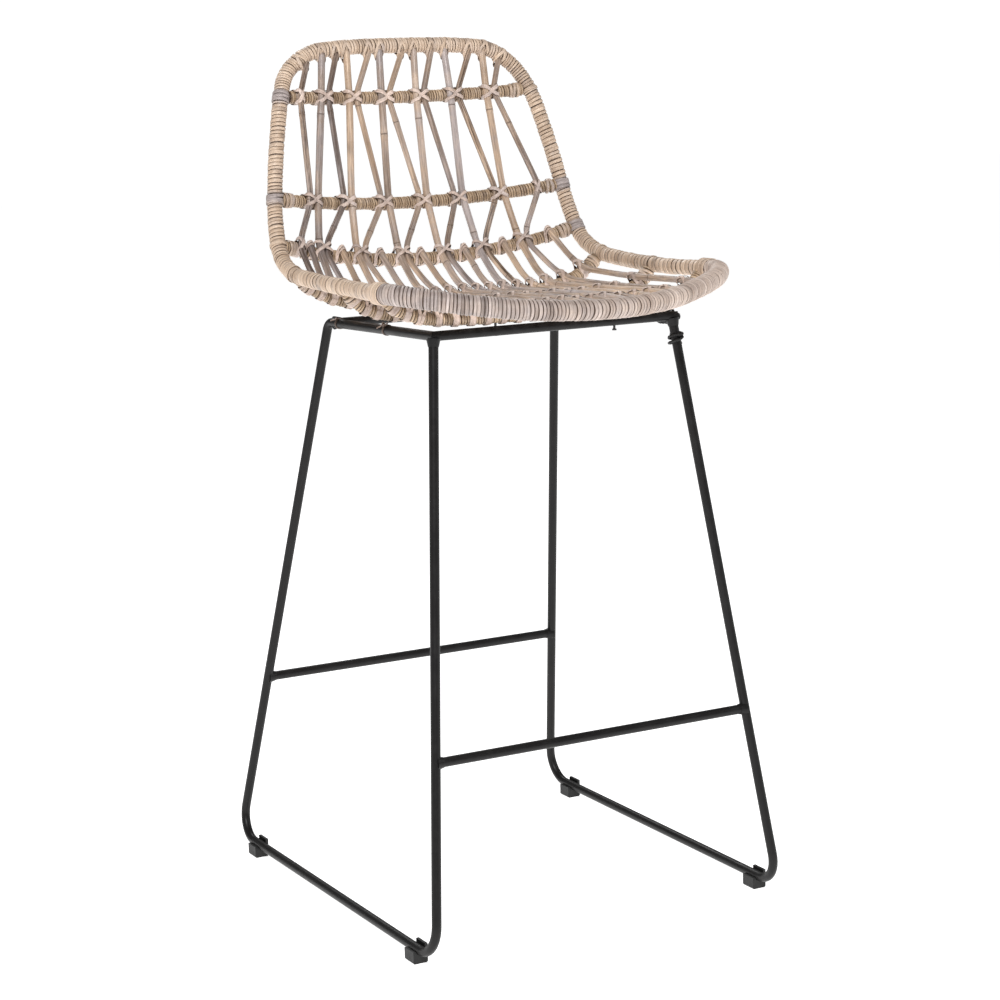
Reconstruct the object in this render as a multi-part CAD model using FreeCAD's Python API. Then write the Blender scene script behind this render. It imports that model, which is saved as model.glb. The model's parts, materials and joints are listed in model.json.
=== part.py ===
import FreeCAD, Part
import math
import os

# Bar stool with a footrest: a dished shell of wrapped rattan rods and peeled canes, lashed and screwed
# onto a welded frame of round steel bar that stands on two sled runners with clip-on glides.
# Millimetres, +Z up, the sitter faces -Y, origin on the floor under the middle of the stool.

V = FreeCAD.Vector

# --- Steel frame -------------------------------------------------------------------------------------
BAR_R = 5.5                    # radius of every steel bar
TOP_HALF, BASE_HALF = 154.5, 226.5     # half widths between bar axes, at the seat and on the floor
FRONT_TOP_Y, FRONT_TOP_Z = -142.0, 680.0
REAR_TOP_Y, REAR_TOP_Z = 121.0, 671.0
FRONT_BASE_Y, REAR_BASE_Y = -252.0, 272.0
RUNNER_Z = 15.0
BASE_BEND, TOP_BEND = 32.0, 13.0       # bend radii on the bar's axis
FOOT_RAIL_Z = 225.0
REAR_RAIL_Y = 106.0            # the rear top rail sits just in front of the bends
FIT = 0.1                      # gap left between bars that are welded together
WELD_R, WELD_TIP_R, WELD_LENGTH = 8.0, 6.0, 9.0
MITRE_DROP = 0.4               # the mitre cuts start this far below the rails
LEG_TOP_DROP = 7.5             # the front legs end this far below the axes of the top rails

# --- Clip-on glides under the runners ----------------------------------------------------------------
GLIDE_LENGTH, GLIDE_WIDTH = 21.0, 18.0
GLIDE_LOW_WALL, GLIDE_HIGH_WALL = 14.0, 22.0
GLIDE_FRONT_Y, GLIDE_REAR_Y = -203.5, 220.5

# --- Ties and screws ---------------------------------------------------------------------------------
TIE_R, TIE_RING_R, KNOT_R = 1.6, 7.4, 2.6
LEG_TIE_Z, CORNER_TIE_Y = 655.0, -124.0
SLEEVE_R, SLEEVE_LENGTH = 6.9, 14.0    # strip wound round the side rails at the seat rods
SLEEVE_SHIFT = 5.0                     # each is wound this far in front of its rod
SCREW_X = 77.0
SCREW_R, SCREW_HEAD_R, SCREW_HEAD_H = 1.4, 2.6, 1.7
SCREW_PROUD = {-1: -1.9, 1: 3.6}       # how far each head hangs below the rail; the left one is sunk in
SCREW_TIP_Z = 697.0

# --- Rattan rods and canes ---------------------------------------------------------------------------
HOOP_R, FRONT_R, RAIL_R = 10.5, 12.0, 8.0      # over their bindings
SPLICE_R, SPLICE_LENGTH = 13.5, 10.0           # the sleeve of binding over each rim joint
STRAIGHT_R, ZIGZAG_R, SHORT_R = 4.5, 3.75, 4.0
CLEAR = 0.4                    # canes lie this far off the rods they cross
END_CLEAR = 0.5
BEND_SHARE = 0.46              # share of the shorter run that a bend in a rod takes up
CANE_SHARES = [0.18, 0.18, 0.28, 0.46, 0.46, 0.46]     # the same for canes, at each rail from the top down
STRIP_WIDTH, STRIP_THICK = 4.0, 1.0
SINGLE_LEAN, PAIR_LEAN = math.radians(37), math.radians(48)    # how far a lashing crosses aslant
BACK_SLACK, LOWER_SLACK = 1.5, 3.0

# Right half of the rim, from the middle of the back's top edge round to the middle of the front edge.
# Each point lies on the rod's axis, in the middle of a bend.
RIM_BACK = [(60, 221, 988), (122, 219, 981.5), (156, 213, 958), (172, 198.5, 925), (188, 181, 859),
            (199, 164, 795), (205, 139, 751), (208, 98, 733), (206, 20, 728), (205.5, -62, 727.5),
            (211.5, -106, 728.7)]
RIM_FRONT = [(207.5, -157, 729.5), (186, -187, 726), (150, -211, 720), (90, -239.5, 712.5),
             (25, -255.8, 709.5)]

# Rods across the back and under the seat: where they meet the rim, their middle, and how late they rise.
RAILS = {
    "upper_back_rail": ((170.7, 200.5, 931.7), (213.0, 926.6), 2),
    "middle_back_rail": ((195.9, 170.9, 814.2), (194.0, 799.9), 2),
    "lower_back_rail": ((203.5, 149.2, 761.6), (166.0, 733.2), 2),
    "rear_seat_rail": ((207.0, 98.0, 731.5), (90.0, 690.5), 5),
    "middle_seat_rail": ((205.5, -24.0, 727.7), (-30.0, 690.5), 8),
    "front_seat_rail": ((210.0, -124.0, 729.0), (-142.0, 695.5), 8),
}
RAIL_ORDER = list(RAILS)
BACK_STATIONS = [1, 0.7, 0.25]
SEAT_STATIONS = [1, 0.9, 0.76, 0.55, 0.2]

# The weave, left to right. Straight cane n and zigzag cane n + 1 are lashed side by side at the upper
# and lower rails; straight cane n and zigzag cane n at the middle one. Short canes start at the lower.
PAIR_GAP = 11.0
TOP_STRAIGHT_X = [-107, -74, -30, 17, 58, 111]
TOP_ZIGZAG_X = [-125, -86, -41, 4, 43, 96, 135]
UPPER_PAIR_X = [-116, -77, -32, 16, 63, 112]
MIDDLE_PAIR_X = [-148, -100, -47, 7, 56, 111]
LOWER_PAIR_X = [-148, -95, -36, 21, 74, 130]
UPPER_FIRST_X, MIDDLE_LAST_X, LOWER_FIRST_X = -150, 162, -179
SHORT_X = [-167, -122, -68, -11, 49, 102, 165]
SEAT_X = [-188, -175, -161, -141, -121.5, -102.5, -84, -66, -47, -28, -9, 10, 28, 46, 64, 84, 104, 126,
          151, 179]
SEAT_SPREAD = (1.0, 1.02, 1.03)        # how the canes fan out over the three seat rails
FRONT_SPREAD = 1.0
SHORT_STUB = 4.0               # how far a short cane's head reaches over the lower rail
RIM_DROP = 5.0                 # canes run into the front rim this far below its axis


# --- Routes: straight runs joined by tangent arcs ----------------------------------------------------
def bend(before, corner, after, radius=None, share=BEND_SHARE):
    """Start, middle and end of the arc that rounds a corner, with a radius or a share of the runs."""
    back, ahead = before - corner, after - corner
    run = min(back.Length, ahead.Length)
    back.normalize()
    ahead.normalize()
    half_turn = (math.pi - back.getAngle(ahead)) / 2
    reach = share * run if radius is None else radius * math.tan(half_turn)
    radius = reach / math.tan(half_turn)
    inward = back + ahead
    inward.normalize()
    middle = corner + inward * (radius / math.cos(half_turn) - radius)
    return corner + back * reach, middle, corner + ahead * reach


def corners_through(points, shares=None):
    """Corners of a route whose bends have their middles on the given points."""
    corners = list(points)
    shares = shares or [BEND_SHARE] * (len(points) - 2)
    for _ in range(8):
        for i in range(1, len(points) - 1):
            middle = bend(*corners[i - 1:i + 2], share=shares[i - 1])[1]
            corners[i] = corners[i] + points[i] - middle
    return corners


def route(corners, radii=None, shares=None):
    """A wire from the first corner to the last, with an arc at every corner between."""
    edges, at = [], corners[0]
    for i in range(1, len(corners) - 1):
        start, middle, end = bend(*corners[i - 1:i + 2], radii[i - 1] if radii else None,
                                  shares[i - 1] if shares else BEND_SHARE)
        edges += [Part.LineSegment(at, start).toShape(), Part.Arc(start, middle, end).toShape()]
        at = end
    edges.append(Part.LineSegment(at, corners[-1]).toShape())
    return Part.Wire(edges)


def rod(wire, radius):
    """A round solid of one radius along a wire."""
    edge = wire.Edges[0]
    along = edge.tangentAt(edge.FirstParameter)
    section = Part.Wire(Part.makeCircle(radius, edge.valueAt(edge.FirstParameter), along))
    return wire.makePipeShell([section], True, False)


def bar(start, end, radius=BAR_R):
    """A straight round bar between two points."""
    return Part.makeCylinder(radius, (end - start).Length, start, end - start)


def mirrored(points):
    """The same points on the left side, in reverse order."""
    return [V(-p.x, p.y, p.z) for p in reversed(points)]


# --- Steel frame -------------------------------------------------------------------------------------
def leg_point(side, front, z):
    """A point at height z on the axis of a leg."""
    top_y, top_z, base_y = ((FRONT_TOP_Y, FRONT_TOP_Z, FRONT_BASE_Y) if front
                            else (REAR_TOP_Y, REAR_TOP_Z, REAR_BASE_Y))
    share = (top_z - z) / (top_z - RUNNER_Z)
    return V(side * (TOP_HALF + (BASE_HALF - TOP_HALF) * share), top_y + (base_y - top_y) * share, z)


def leg_space(side, front):
    """The space that a leg takes up, with room for the weld."""
    top = FRONT_TOP_Z if front else REAR_TOP_Z
    return bar(leg_point(side, front, 100), leg_point(side, front, top), BAR_R + FIT)


def corner(side):
    return V(side * TOP_HALF, FRONT_TOP_Y, FRONT_TOP_Z)


def mitre(side, direction):
    """A block that cuts a rail's end at 45 degrees at a front corner."""
    block = Part.makeBox(40, 60, 24, V(FIT / 2, -30, 0))
    block.rotate(V(0, 0, 0), V(0, 0, 1), direction)
    block.translate(corner(side) - V(0, 0, BAR_R + MITRE_DROP))
    return block


def side_bar(side):
    """Front leg, runner, rear leg and side top rail, bent from one bar."""
    leg_top = leg_point(side, True, FRONT_TOP_Z - LEG_TOP_DROP)
    rail_end = corner(side) + V(0, -BAR_R - 2, 0.25)
    path = [leg_top, leg_point(side, True, RUNNER_Z), leg_point(side, False, RUNNER_Z),
            leg_point(side, False, REAR_TOP_Z), rail_end]
    shape = rod(route(path, [BASE_BEND, BASE_BEND, TOP_BEND]), BAR_R)
    return shape.cut(mitre(side, -135 if side > 0 else -45))


def screw_holes():
    """A clear hole for each screw, widened for the head of the sunk one."""
    low = V(0, FRONT_TOP_Y, FRONT_TOP_Z - 3 * BAR_R)
    holes = [Part.makeCylinder(SCREW_R + 0.2, SCREW_TIP_Z + 1 - low.z, low + V(side * SCREW_X, 0, 0))
             for side in SCREW_PROUD]
    sunk = Part.makeCylinder(SCREW_HEAD_R + 0.4, 2 * BAR_R + 0.1 - SCREW_PROUD[-1], low - V(SCREW_X, 0, 0))
    return holes[0].fuse(holes[1]).fuse(sunk)


def front_top_rail():
    rail = bar(corner(-1) - V(BAR_R + 2, 0, 0), corner(1) + V(BAR_R + 2, 0, 0))
    for side, direction in ((1, 45), (-1, 135)):
        rail = rail.cut(mitre(side, direction))
    return rail.cut(screw_holes())


def rear_rail_point(side):
    share = (REAR_TOP_Y - REAR_RAIL_Y) / (REAR_TOP_Y - FRONT_TOP_Y)
    return V(side * TOP_HALF, REAR_RAIL_Y, REAR_TOP_Z + (FRONT_TOP_Z - REAR_TOP_Z) * share)


def side_rail_space(side):
    """The space that a side top rail takes up, with room for the weld."""
    rear = V(side * TOP_HALF, REAR_TOP_Y, REAR_TOP_Z)
    return bar(rear, corner(side), BAR_R + FIT)


def rear_top_rail():
    rail = bar(rear_rail_point(-1), rear_rail_point(1))
    for side in (-1, 1):
        rail = rail.cut(side_rail_space(side))
    return rail


def foot_rail(front):
    rail = bar(leg_point(-1, front, FOOT_RAIL_Z), leg_point(1, front, FOOT_RAIL_Z))
    for side in (-1, 1):
        rail = rail.cut(leg_space(side, front))
    return rail


def weld(at, along, *neighbours):
    """A fillet of weld metal round the end of a bar, where it meets another."""
    bead = Part.makeCone(WELD_R, WELD_TIP_R, WELD_LENGTH, at, along)
    bead = bead.cut(bar(at - along * WELD_LENGTH, at + along * (WELD_LENGTH * 2), BAR_R + FIT))
    for space in neighbours:
        bead = bead.cut(space)
    return bead


def weld_beads():
    """Beads at the foot rails, at the rear top rail and under the front corners."""
    beads = []
    for side in (-1, 1):
        inward = V(-side, 0, 0)
        for front in (True, False):
            beads.append(weld(leg_point(side, front, FOOT_RAIL_Z), inward, leg_space(side, front)))
        beads.append(weld(rear_rail_point(side), inward, side_rail_space(side)))
        down = leg_point(side, True, RUNNER_Z) - corner(side)
        down.normalize()
        front_rail = bar(corner(-1), corner(1), BAR_R + FIT)
        beads.append(weld(corner(side) + down * (BAR_R / 2), down, side_rail_space(side), front_rail))
    largest = [max(bead.Solids, key=lambda solid: solid.Volume) for bead in beads]
    return Part.makeCompound(largest)


def glide(side, y):
    """A plastic clip under a runner: one low wall, one high wall, and a groove for the bar."""
    left = side * BASE_HALF - GLIDE_WIDTH / 2
    body = Part.makeBox(GLIDE_WIDTH, GLIDE_LENGTH, GLIDE_HIGH_WALL, V(left, y - GLIDE_LENGTH / 2, 0))
    lower = Part.makeBox(GLIDE_WIDTH / 2, GLIDE_LENGTH, 20, V(left, y - GLIDE_LENGTH / 2, GLIDE_LOW_WALL))
    axis = V(side * BASE_HALF, y - GLIDE_LENGTH, RUNNER_Z)
    groove = Part.makeCylinder(BAR_R + FIT, GLIDE_LENGTH * 2, axis, V(0, 1, 0))
    mouth = Part.makeBox(2 * (BAR_R + FIT), GLIDE_LENGTH * 2, 20, axis - V(BAR_R + FIT, 0, 0))
    body = body.cut(lower).cut(groove).cut(mouth)
    long_edges = [e for e in body.Edges if e.BoundBox.ZMax < 0.1 and e.BoundBox.YLength > 1]
    return body.makeChamfer(1.5, long_edges)


def tie(centre, axis, knot):
    """Two turns of cord side by side round a bar, with their knot beside them."""
    axis = axis.normalize()
    rings = [Part.makeTorus(TIE_RING_R, TIE_R, centre + axis * (side * (TIE_R + FIT)), axis)
             for side in (-1, 1)]
    knot_at = centre + knot * (TIE_RING_R + TIE_R + KNOT_R + FIT)
    return Part.makeCompound(rings + [Part.makeSphere(KNOT_R, knot_at)])


def leg_tie():
    centre = leg_point(1, True, LEG_TIE_Z)
    return tie(centre, corner(1) - centre, V(-1, 0, 0))


def corner_tie():
    share = (CORNER_TIE_Y - FRONT_TOP_Y) / (REAR_TOP_Y - FRONT_TOP_Y)
    centre = V(TOP_HALF, CORNER_TIE_Y, FRONT_TOP_Z + (REAR_TOP_Z - FRONT_TOP_Z) * share)
    return tie(centre, V(0, 1, 0), V(1, 0, 0))


def seat_screws():
    """Screws driven up through the front rail into the front seat rod."""
    screws = []
    for side, proud in SCREW_PROUD.items():
        head_top = V(side * SCREW_X, FRONT_TOP_Y, FRONT_TOP_Z - BAR_R - proud)
        shank = Part.makeCylinder(SCREW_R, SCREW_TIP_Z - head_top.z, head_top)
        head = Part.makeCylinder(SCREW_HEAD_R, SCREW_HEAD_H, head_top - V(0, 0, SCREW_HEAD_H))
        screws.append(shank.fuse(head))
    return Part.makeCompound(screws)


# --- Rattan rim and rails ----------------------------------------------------------------------------
def rim_corners():
    """Corners of the back hoop and of the front rod, which meet halfway between two corners."""
    half = [V(*p) for p in RIM_BACK + RIM_FRONT]
    loop = mirrored(half) + half
    corners = corners_through(loop[-3:] + loop + loop[:3])[3:-3]
    front, last = len(RIM_FRONT), len(loop) - len(RIM_FRONT)
    left = (corners[front - 1] + corners[front]) * 0.5
    right = (corners[last - 1] + corners[last]) * 0.5
    return [left] + corners[front:last] + [right], [right] + corners[last:] + corners[:front] + [left]


HOOP_CORNERS, FRONT_CORNERS = rim_corners()
HOOP_ROUTE, FRONT_ROUTE = route(HOOP_CORNERS), route(FRONT_CORNERS)
HOOP_LINE = HOOP_ROUTE.discretize(Distance=2.0)
FRONT_LINE = FRONT_ROUTE.discretize(Distance=2.0)


def rail_axis(name, share):
    """A point on the axis of a cross rod, share of the way from its middle to the rim."""
    end, middle, power = RAILS[name]
    rise = abs(share) ** power
    sag = share * share
    return V(end[0] * share, middle[0] + (end[1] - middle[0]) * sag, middle[1] + (end[2] - middle[1]) * rise)


def off_rim(end, inner, radius, rim_radius=HOOP_R):
    """The end of a rod or cane, drawn back along its last run until its flat end clears the rim."""
    line = HOOP_LINE + FRONT_LINE
    step = (inner - end).normalize()
    for _ in range(200):
        near = min(range(1, len(line) - 1), key=lambda k: (line[k] - end).Length)
        rim_along = (line[near + 1] - line[near - 1]).normalize()
        slant = abs(rim_along.dot(step))
        if (line[near] - end).Length >= rim_radius + END_CLEAR + radius * slant:
            break
        end = end + step * 0.25
    return end


def rail_route(name):
    """A cross rod, stopped short of the rim's surface at each end."""
    stations = BACK_STATIONS if RAILS[name][2] == 2 else SEAT_STATIONS
    points = [rail_axis(name, s) for s in reversed(stations)]
    points = corners_through(mirrored(points) + points)
    rim_radius = SPLICE_R if name == "front_seat_rail" else HOOP_R
    for end, inner in ((0, 1), (-1, -2)):
        points[end] = off_rim(points[end], points[inner], RAIL_R, rim_radius)
    return route(points)


RAIL_ROUTES = {name: rail_route(name) for name in RAILS}
RAIL_LINES = {name: wire.discretize(Distance=1.5) for name, wire in RAIL_ROUTES.items()}


def at_x(line, x):
    """The point of a route at a given x, and its direction there."""
    i = min(range(1, len(line) - 1), key=lambda k: abs(line[k].x - x))
    along = line[i + 1] - line[i - 1]
    return line[i] + along * ((x - line[i].x) / along.x), along.normalize()


def front_seat_rail():
    return rod(RAIL_ROUTES["front_seat_rail"], RAIL_R).cut(screw_holes())


def rim_splices():
    """A sleeve of binding over each joint between the hoop and the front rod."""
    sleeves = []
    for at, before in ((HOOP_CORNERS[0], HOOP_CORNERS[1]), (HOOP_CORNERS[-1], HOOP_CORNERS[-2])):
        along = before - at
        along.normalize()
        half = along * (SPLICE_LENGTH / 2)
        outer = bar(at - half, at + half, SPLICE_R)
        sleeves.append(outer.cut(bar(at - half * 1.2, at + half * 1.2, FRONT_R + 0.3)))
    return Part.makeCompound(sleeves)


# --- Canes -------------------------------------------------------------------------------------------
def on_rails(xs, radius, names):
    """Where a cane's axis crosses each rail, lying on the sitter's side of it."""
    axes = [at_x(RAIL_LINES[name], x) for name, x in zip(names, xs)]
    points = []
    for i, (axis, along) in enumerate(axes):
        before, after = axes[max(i - 1, 0)][0], axes[min(i + 1, len(axes) - 1)][0]
        out = along.cross(after - before)
        out.normalize()
        if out.z - out.y < 0:
            out = out * -1
        points.append(axis + out * (RAIL_R + radius + CLEAR))
    return points


def front_end(x, inner, radius):
    """Where a cane ends against the back of the front rim."""
    nearest = min(FRONT_LINE, key=lambda p: abs(p.x - x))
    return off_rim(nearest - V(0, 0, RIM_DROP), inner, radius, FRONT_R)


def seat_xs(index):
    return [SEAT_X[index] * spread for spread in SEAT_SPREAD]


def long_cane(top_x, back_xs, seat_index, radius):
    """A cane from the top of the hoop down the back and forward over the seat."""
    points = on_rails(back_xs + seat_xs(seat_index), radius, RAIL_ORDER)
    top = at_x([p for p in HOOP_LINE if p.z > 940], top_x)[0]
    top = off_rim(top + V(0, -3, 0), points[0], radius)
    end = front_end(SEAT_X[seat_index] * FRONT_SPREAD, points[-1], radius)
    return [top] + points + [end]


def straight_cane(n):
    left = PAIR_GAP / 2
    back = [UPPER_PAIR_X[n] - left, MIDDLE_PAIR_X[n] + left, LOWER_PAIR_X[n] - left]
    return long_cane(TOP_STRAIGHT_X[n], back, 3 * n + 2, STRAIGHT_R)


def zigzag_cane(n):
    right = PAIR_GAP / 2
    upper = UPPER_PAIR_X[n - 1] + right if n else UPPER_FIRST_X
    middle = MIDDLE_PAIR_X[n] - right if n < len(MIDDLE_PAIR_X) else MIDDLE_LAST_X
    lower = LOWER_PAIR_X[n - 1] + right if n else LOWER_FIRST_X
    return long_cane(TOP_ZIGZAG_X[n], [upper, middle, lower], 3 * n, ZIGZAG_R)


def short_cane(n):
    """A cane hooked over the lower rail, running forward over the seat."""
    index = 3 * n + 1
    points = on_rails([SHORT_X[n]] + seat_xs(index), SHORT_R, RAIL_ORDER[2:])
    stub = (points[0] - points[1]).normalize() + V(0, 0, 1)
    stub.normalize()
    end = front_end(SEAT_X[index] * FRONT_SPREAD, points[-1], SHORT_R)
    return [points[0] + stub * SHORT_STUB] + points + [end]


CANES = {f"straight_cane_{n + 1}": (straight_cane(n), STRAIGHT_R) for n in range(6)}
CANES.update({f"zigzag_cane_{n + 1}": (zigzag_cane(n), ZIGZAG_R) for n in range(7)})
CANES.update({f"short_cane_{n + 1}": (short_cane(n), SHORT_R) for n in range(7)})


# --- Lashings ----------------------------------------------------------------------------------------
def lashing(rail_at, out, slant, across, inner_reach, outer_reach):
    """A flat strip looped round a rod and what it holds. The loop lies in the plane of the outward
    direction and the slanting one, reaches across to both sides, and is closed behind the rod."""
    width = slant.cross(out)
    width.normalize()
    origin = rail_at - width * (STRIP_WIDTH / 2)

    def loop(extra):
        half = across + extra
        low, high = -inner_reach - extra, outer_reach + extra
        cut = 5.0
        outline = [(-half, low + cut), (-half, high - cut), (-half + cut, high), (half - cut, high),
                   (half, high - cut), (half, low + cut), (half - cut, low), (-half + cut, low)]
        points = [origin + slant * u + out * w for u, w in outline]
        return Part.Face(Part.makePolygon(points + points[:1]))

    return loop(STRIP_THICK).cut(loop(0)).extrude(width * STRIP_WIDTH)


def crossing_lashing(name, x, half_span, radius, slack=0.0):
    """A lashing that binds the cane or canes centred on x to a rail, with slack where they bend."""
    order = RAIL_ORDER.index(name)
    axis, along = at_x(RAIL_LINES[name], x)
    before = at_x(RAIL_LINES[RAIL_ORDER[max(order - 1, 0)]], x)[0]
    after = at_x(RAIL_LINES[RAIL_ORDER[min(order + 1, 5)]], x)[0]
    out = along.cross(after - before)
    out.normalize()
    if out.z - out.y < 0:
        out = out * -1
    down = out.cross(along)
    down.normalize()
    lean = PAIR_LEAN if half_span > radius else SINGLE_LEAN
    slant = along * math.sin(lean) + down * math.cos(lean)
    half_strip = STRIP_WIDTH / 2
    over_rail = (RAIL_R + half_strip * math.sin(lean)) / math.cos(lean)
    over_canes = (half_span + half_strip * math.cos(lean)) / math.sin(lean)
    across = max(over_rail, over_canes) + 2 * CLEAR + slack
    return lashing(axis, out, slant, across, RAIL_R + CLEAR, RAIL_R + 2 * radius + 3 * CLEAR + slack)


def rail_lashings(name):
    """One lashing at each place where canes cross a back rail."""
    pairs, single = {"upper_back_rail": (UPPER_PAIR_X, UPPER_FIRST_X),
                     "middle_back_rail": (MIDDLE_PAIR_X, MIDDLE_LAST_X),
                     "lower_back_rail": (LOWER_PAIR_X, LOWER_FIRST_X)}[name]
    half_pair = PAIR_GAP / 2 + STRAIGHT_R
    slack = LOWER_SLACK if name == "lower_back_rail" else BACK_SLACK
    loops = [crossing_lashing(name, x, half_pair, STRAIGHT_R, slack) for x in pairs]
    loops.append(crossing_lashing(name, single, ZIGZAG_R, ZIGZAG_R))
    return Part.makeCompound(loops)


def short_cane_hooks():
    loops = [crossing_lashing("lower_back_rail", x, SHORT_R, SHORT_R) for x in SHORT_X]
    return Part.makeCompound(loops)


def seat_lashings(name):
    """One lashing at each cane over a seat rail."""
    spread = SEAT_SPREAD[RAIL_ORDER.index(name) - 3]
    loops = [crossing_lashing(name, x * spread, STRAIGHT_R, STRAIGHT_R) for x in SEAT_X]
    return Part.makeCompound(loops)


def frame_lashings():
    """Strip wound round the steel side rails beside the rear and middle seat rods."""
    sleeves = []
    for name in ("rear_seat_rail", "middle_seat_rail"):
        for side in (-1, 1):
            rear = V(side * TOP_HALF, REAR_TOP_Y, REAR_TOP_Z)
            along = (corner(side) - rear).normalize()
            y = at_x(RAIL_LINES[name], side * TOP_HALF)[0].y - SLEEVE_SHIFT
            at = rear + along * ((y - rear.y) / along.y)
            half = along * (SLEEVE_LENGTH / 2)
            inner = bar(at - half * 1.2, at + half * 1.2, BAR_R + FIT)
            sleeves.append(bar(at - half, at + half, SLEEVE_R).cut(inner))
    return Part.makeCompound(sleeves)


def parts():
    """Every sub-part by name."""
    made = {"left_side_bar": side_bar(-1), "right_side_bar": side_bar(1),
            "front_top_rail": front_top_rail(), "rear_top_rail": rear_top_rail(),
            "front_foot_rail": foot_rail(True), "rear_foot_rail": foot_rail(False),
            "weld_beads": weld_beads(), "leg_tie": leg_tie(), "corner_tie": corner_tie(),
            "seat_screws": seat_screws()}
    for end, y in (("front", GLIDE_FRONT_Y), ("rear", GLIDE_REAR_Y)):
        for hand, side in (("left", -1), ("right", 1)):
            made[f"glide_{end}_{hand}"] = glide(side, y)
    made["back_hoop"] = rod(HOOP_ROUTE, HOOP_R)
    made["front_rim"] = rod(FRONT_ROUTE, FRONT_R)
    made["rim_splices"] = rim_splices()
    for name, wire in RAIL_ROUTES.items():
        made[name] = rod(wire, RAIL_R)
    made["front_seat_rail"] = front_seat_rail()
    for name, (points, radius) in CANES.items():
        shares = CANE_SHARES[-(len(points) - 2):]
        made[name] = rod(route(corners_through(points, shares), shares=shares), radius)
    for name in RAIL_ORDER[:3]:
        made[name.replace("back_rail", "lashings")] = rail_lashings(name)
    for name in RAIL_ORDER[3:]:
        made[name.replace("rail", "lashings")] = seat_lashings(name)
    made["short_cane_hooks"] = short_cane_hooks()
    made["frame_lashings"] = frame_lashings()
    return made


os.makedirs("parts", exist_ok=True)
for part_name, shape in parts().items():
    shape.exportStep(f"parts/{part_name}.step")
    box = shape.BoundBox
    print(f"{part_name:20s} valid {shape.isValid()} solids {len(shape.Solids)} volume {shape.Volume:9.0f}"
          f"  x {box.XMin:7.1f} {box.XMax:7.1f}  y {box.YMin:7.1f} {box.YMax:7.1f}"
          f"  z {box.ZMin:6.1f} {box.ZMax:6.1f}")
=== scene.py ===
import json
import math

import bpy
import numpy as np
from mathutils import Matrix, Vector


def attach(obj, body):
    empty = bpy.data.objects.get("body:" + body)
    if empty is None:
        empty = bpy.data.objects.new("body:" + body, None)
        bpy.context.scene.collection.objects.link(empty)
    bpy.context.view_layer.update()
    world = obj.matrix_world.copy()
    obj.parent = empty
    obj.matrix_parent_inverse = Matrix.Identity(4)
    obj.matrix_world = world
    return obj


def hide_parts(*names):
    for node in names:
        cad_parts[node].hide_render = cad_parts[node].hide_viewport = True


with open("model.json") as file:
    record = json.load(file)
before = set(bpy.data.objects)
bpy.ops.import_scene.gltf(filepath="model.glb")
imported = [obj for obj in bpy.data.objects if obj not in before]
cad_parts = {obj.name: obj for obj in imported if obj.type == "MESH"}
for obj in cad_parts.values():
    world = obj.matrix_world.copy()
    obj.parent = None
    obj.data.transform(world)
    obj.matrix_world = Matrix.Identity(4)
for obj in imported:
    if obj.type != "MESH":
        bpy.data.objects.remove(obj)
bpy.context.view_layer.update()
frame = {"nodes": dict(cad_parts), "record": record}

bl_info = {
    "name": "Rattan Bar Stool",
    "version": (1, 0, 0),
    "blender": (4, 5, 0),
    "location": "3D View > Sidebar > Stool",
    "description": "Builds the bound rods, canes, lashings, steel finish and stage of a rattan bar stool",
    "category": "Add Mesh",
}

# Metres, +Z up, the sitter faces -Y. All sizes below are those of the stool's own parts.

# --- Rods and canes ----------------------------------------------------------------------------------
HOOP_R, FRONT_R, RAIL_R = 0.0105, 0.012, 0.008          # over their bindings
STRAIGHT_R, ZIGZAG_R, SHORT_R = 0.0045, 0.00375, 0.004
CLEAR, END_CLEAR = 0.0004, 0.0005
BEND_SHARE = 0.46                                       # share of the shorter run that a bend takes up
CANE_SHARES = [.18, .18, .28, .46, .46, .46]            # the same for canes, at each rail from the top down
RIM_BACK = [(.060, .221, .988), (.122, .219, .9815), (.156, .213, .958), (.172, .1985, .925),
            (.188, .181, .859), (.199, .164, .795), (.205, .139, .751), (.208, .098, .733),
            (.206, .020, .728), (.2055, -.062, .7275), (.2115, -.106, .7287)]
RIM_FRONT = [(.2075, -.157, .7295), (.186, -.187, .726), (.150, -.211, .720), (.090, -.2395, .7125),
             (.025, -.2558, .7095)]
RAILS = {                                               # end at the rim, middle (y, z), how late it rises
    "upper_back_rail": ((.1707, .2005, .9317), (.2130, .9266), 2),
    "middle_back_rail": ((.1959, .1709, .8142), (.1940, .7999), 2),
    "lower_back_rail": ((.2035, .1492, .7616), (.1660, .7332), 2),
    "rear_seat_rail": ((.2070, .0980, .7315), (.0900, .6905), 5),
    "middle_seat_rail": ((.2055, -.0240, .7277), (-.0300, .6905), 8),
    "front_seat_rail": ((.2100, -.1240, .7290), (-.1420, .6955), 8),
}
RAIL_ORDER = list(RAILS)
BACK_STATIONS, SEAT_STATIONS = [1, .7, .25], [1, .9, .76, .55, .2]
PAIR_GAP = .011
TOP_STRAIGHT_X = [-.107, -.074, -.030, .017, .058, .111]
TOP_ZIGZAG_X = [-.125, -.086, -.041, .004, .043, .096, .135]
UPPER_PAIR_X = [-.116, -.077, -.032, .016, .063, .112]
MIDDLE_PAIR_X = [-.148, -.100, -.047, .007, .056, .111]
LOWER_PAIR_X = [-.148, -.095, -.036, .021, .074, .130]
UPPER_FIRST_X, MIDDLE_LAST_X, LOWER_FIRST_X = -.150, .162, -.179
SHORT_X = [-.167, -.122, -.068, -.011, .049, .102, .165]
SEAT_X = [-.188, -.175, -.161, -.141, -.1215, -.1025, -.084, -.066, -.047, -.028, -.009, .010, .028, .046,
          .064, .084, .104, .126, .151, .179]
SEAT_SPREAD = (1.0, 1.02, 1.03)
SHORT_STUB, RIM_DROP = .004, .005
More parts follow.
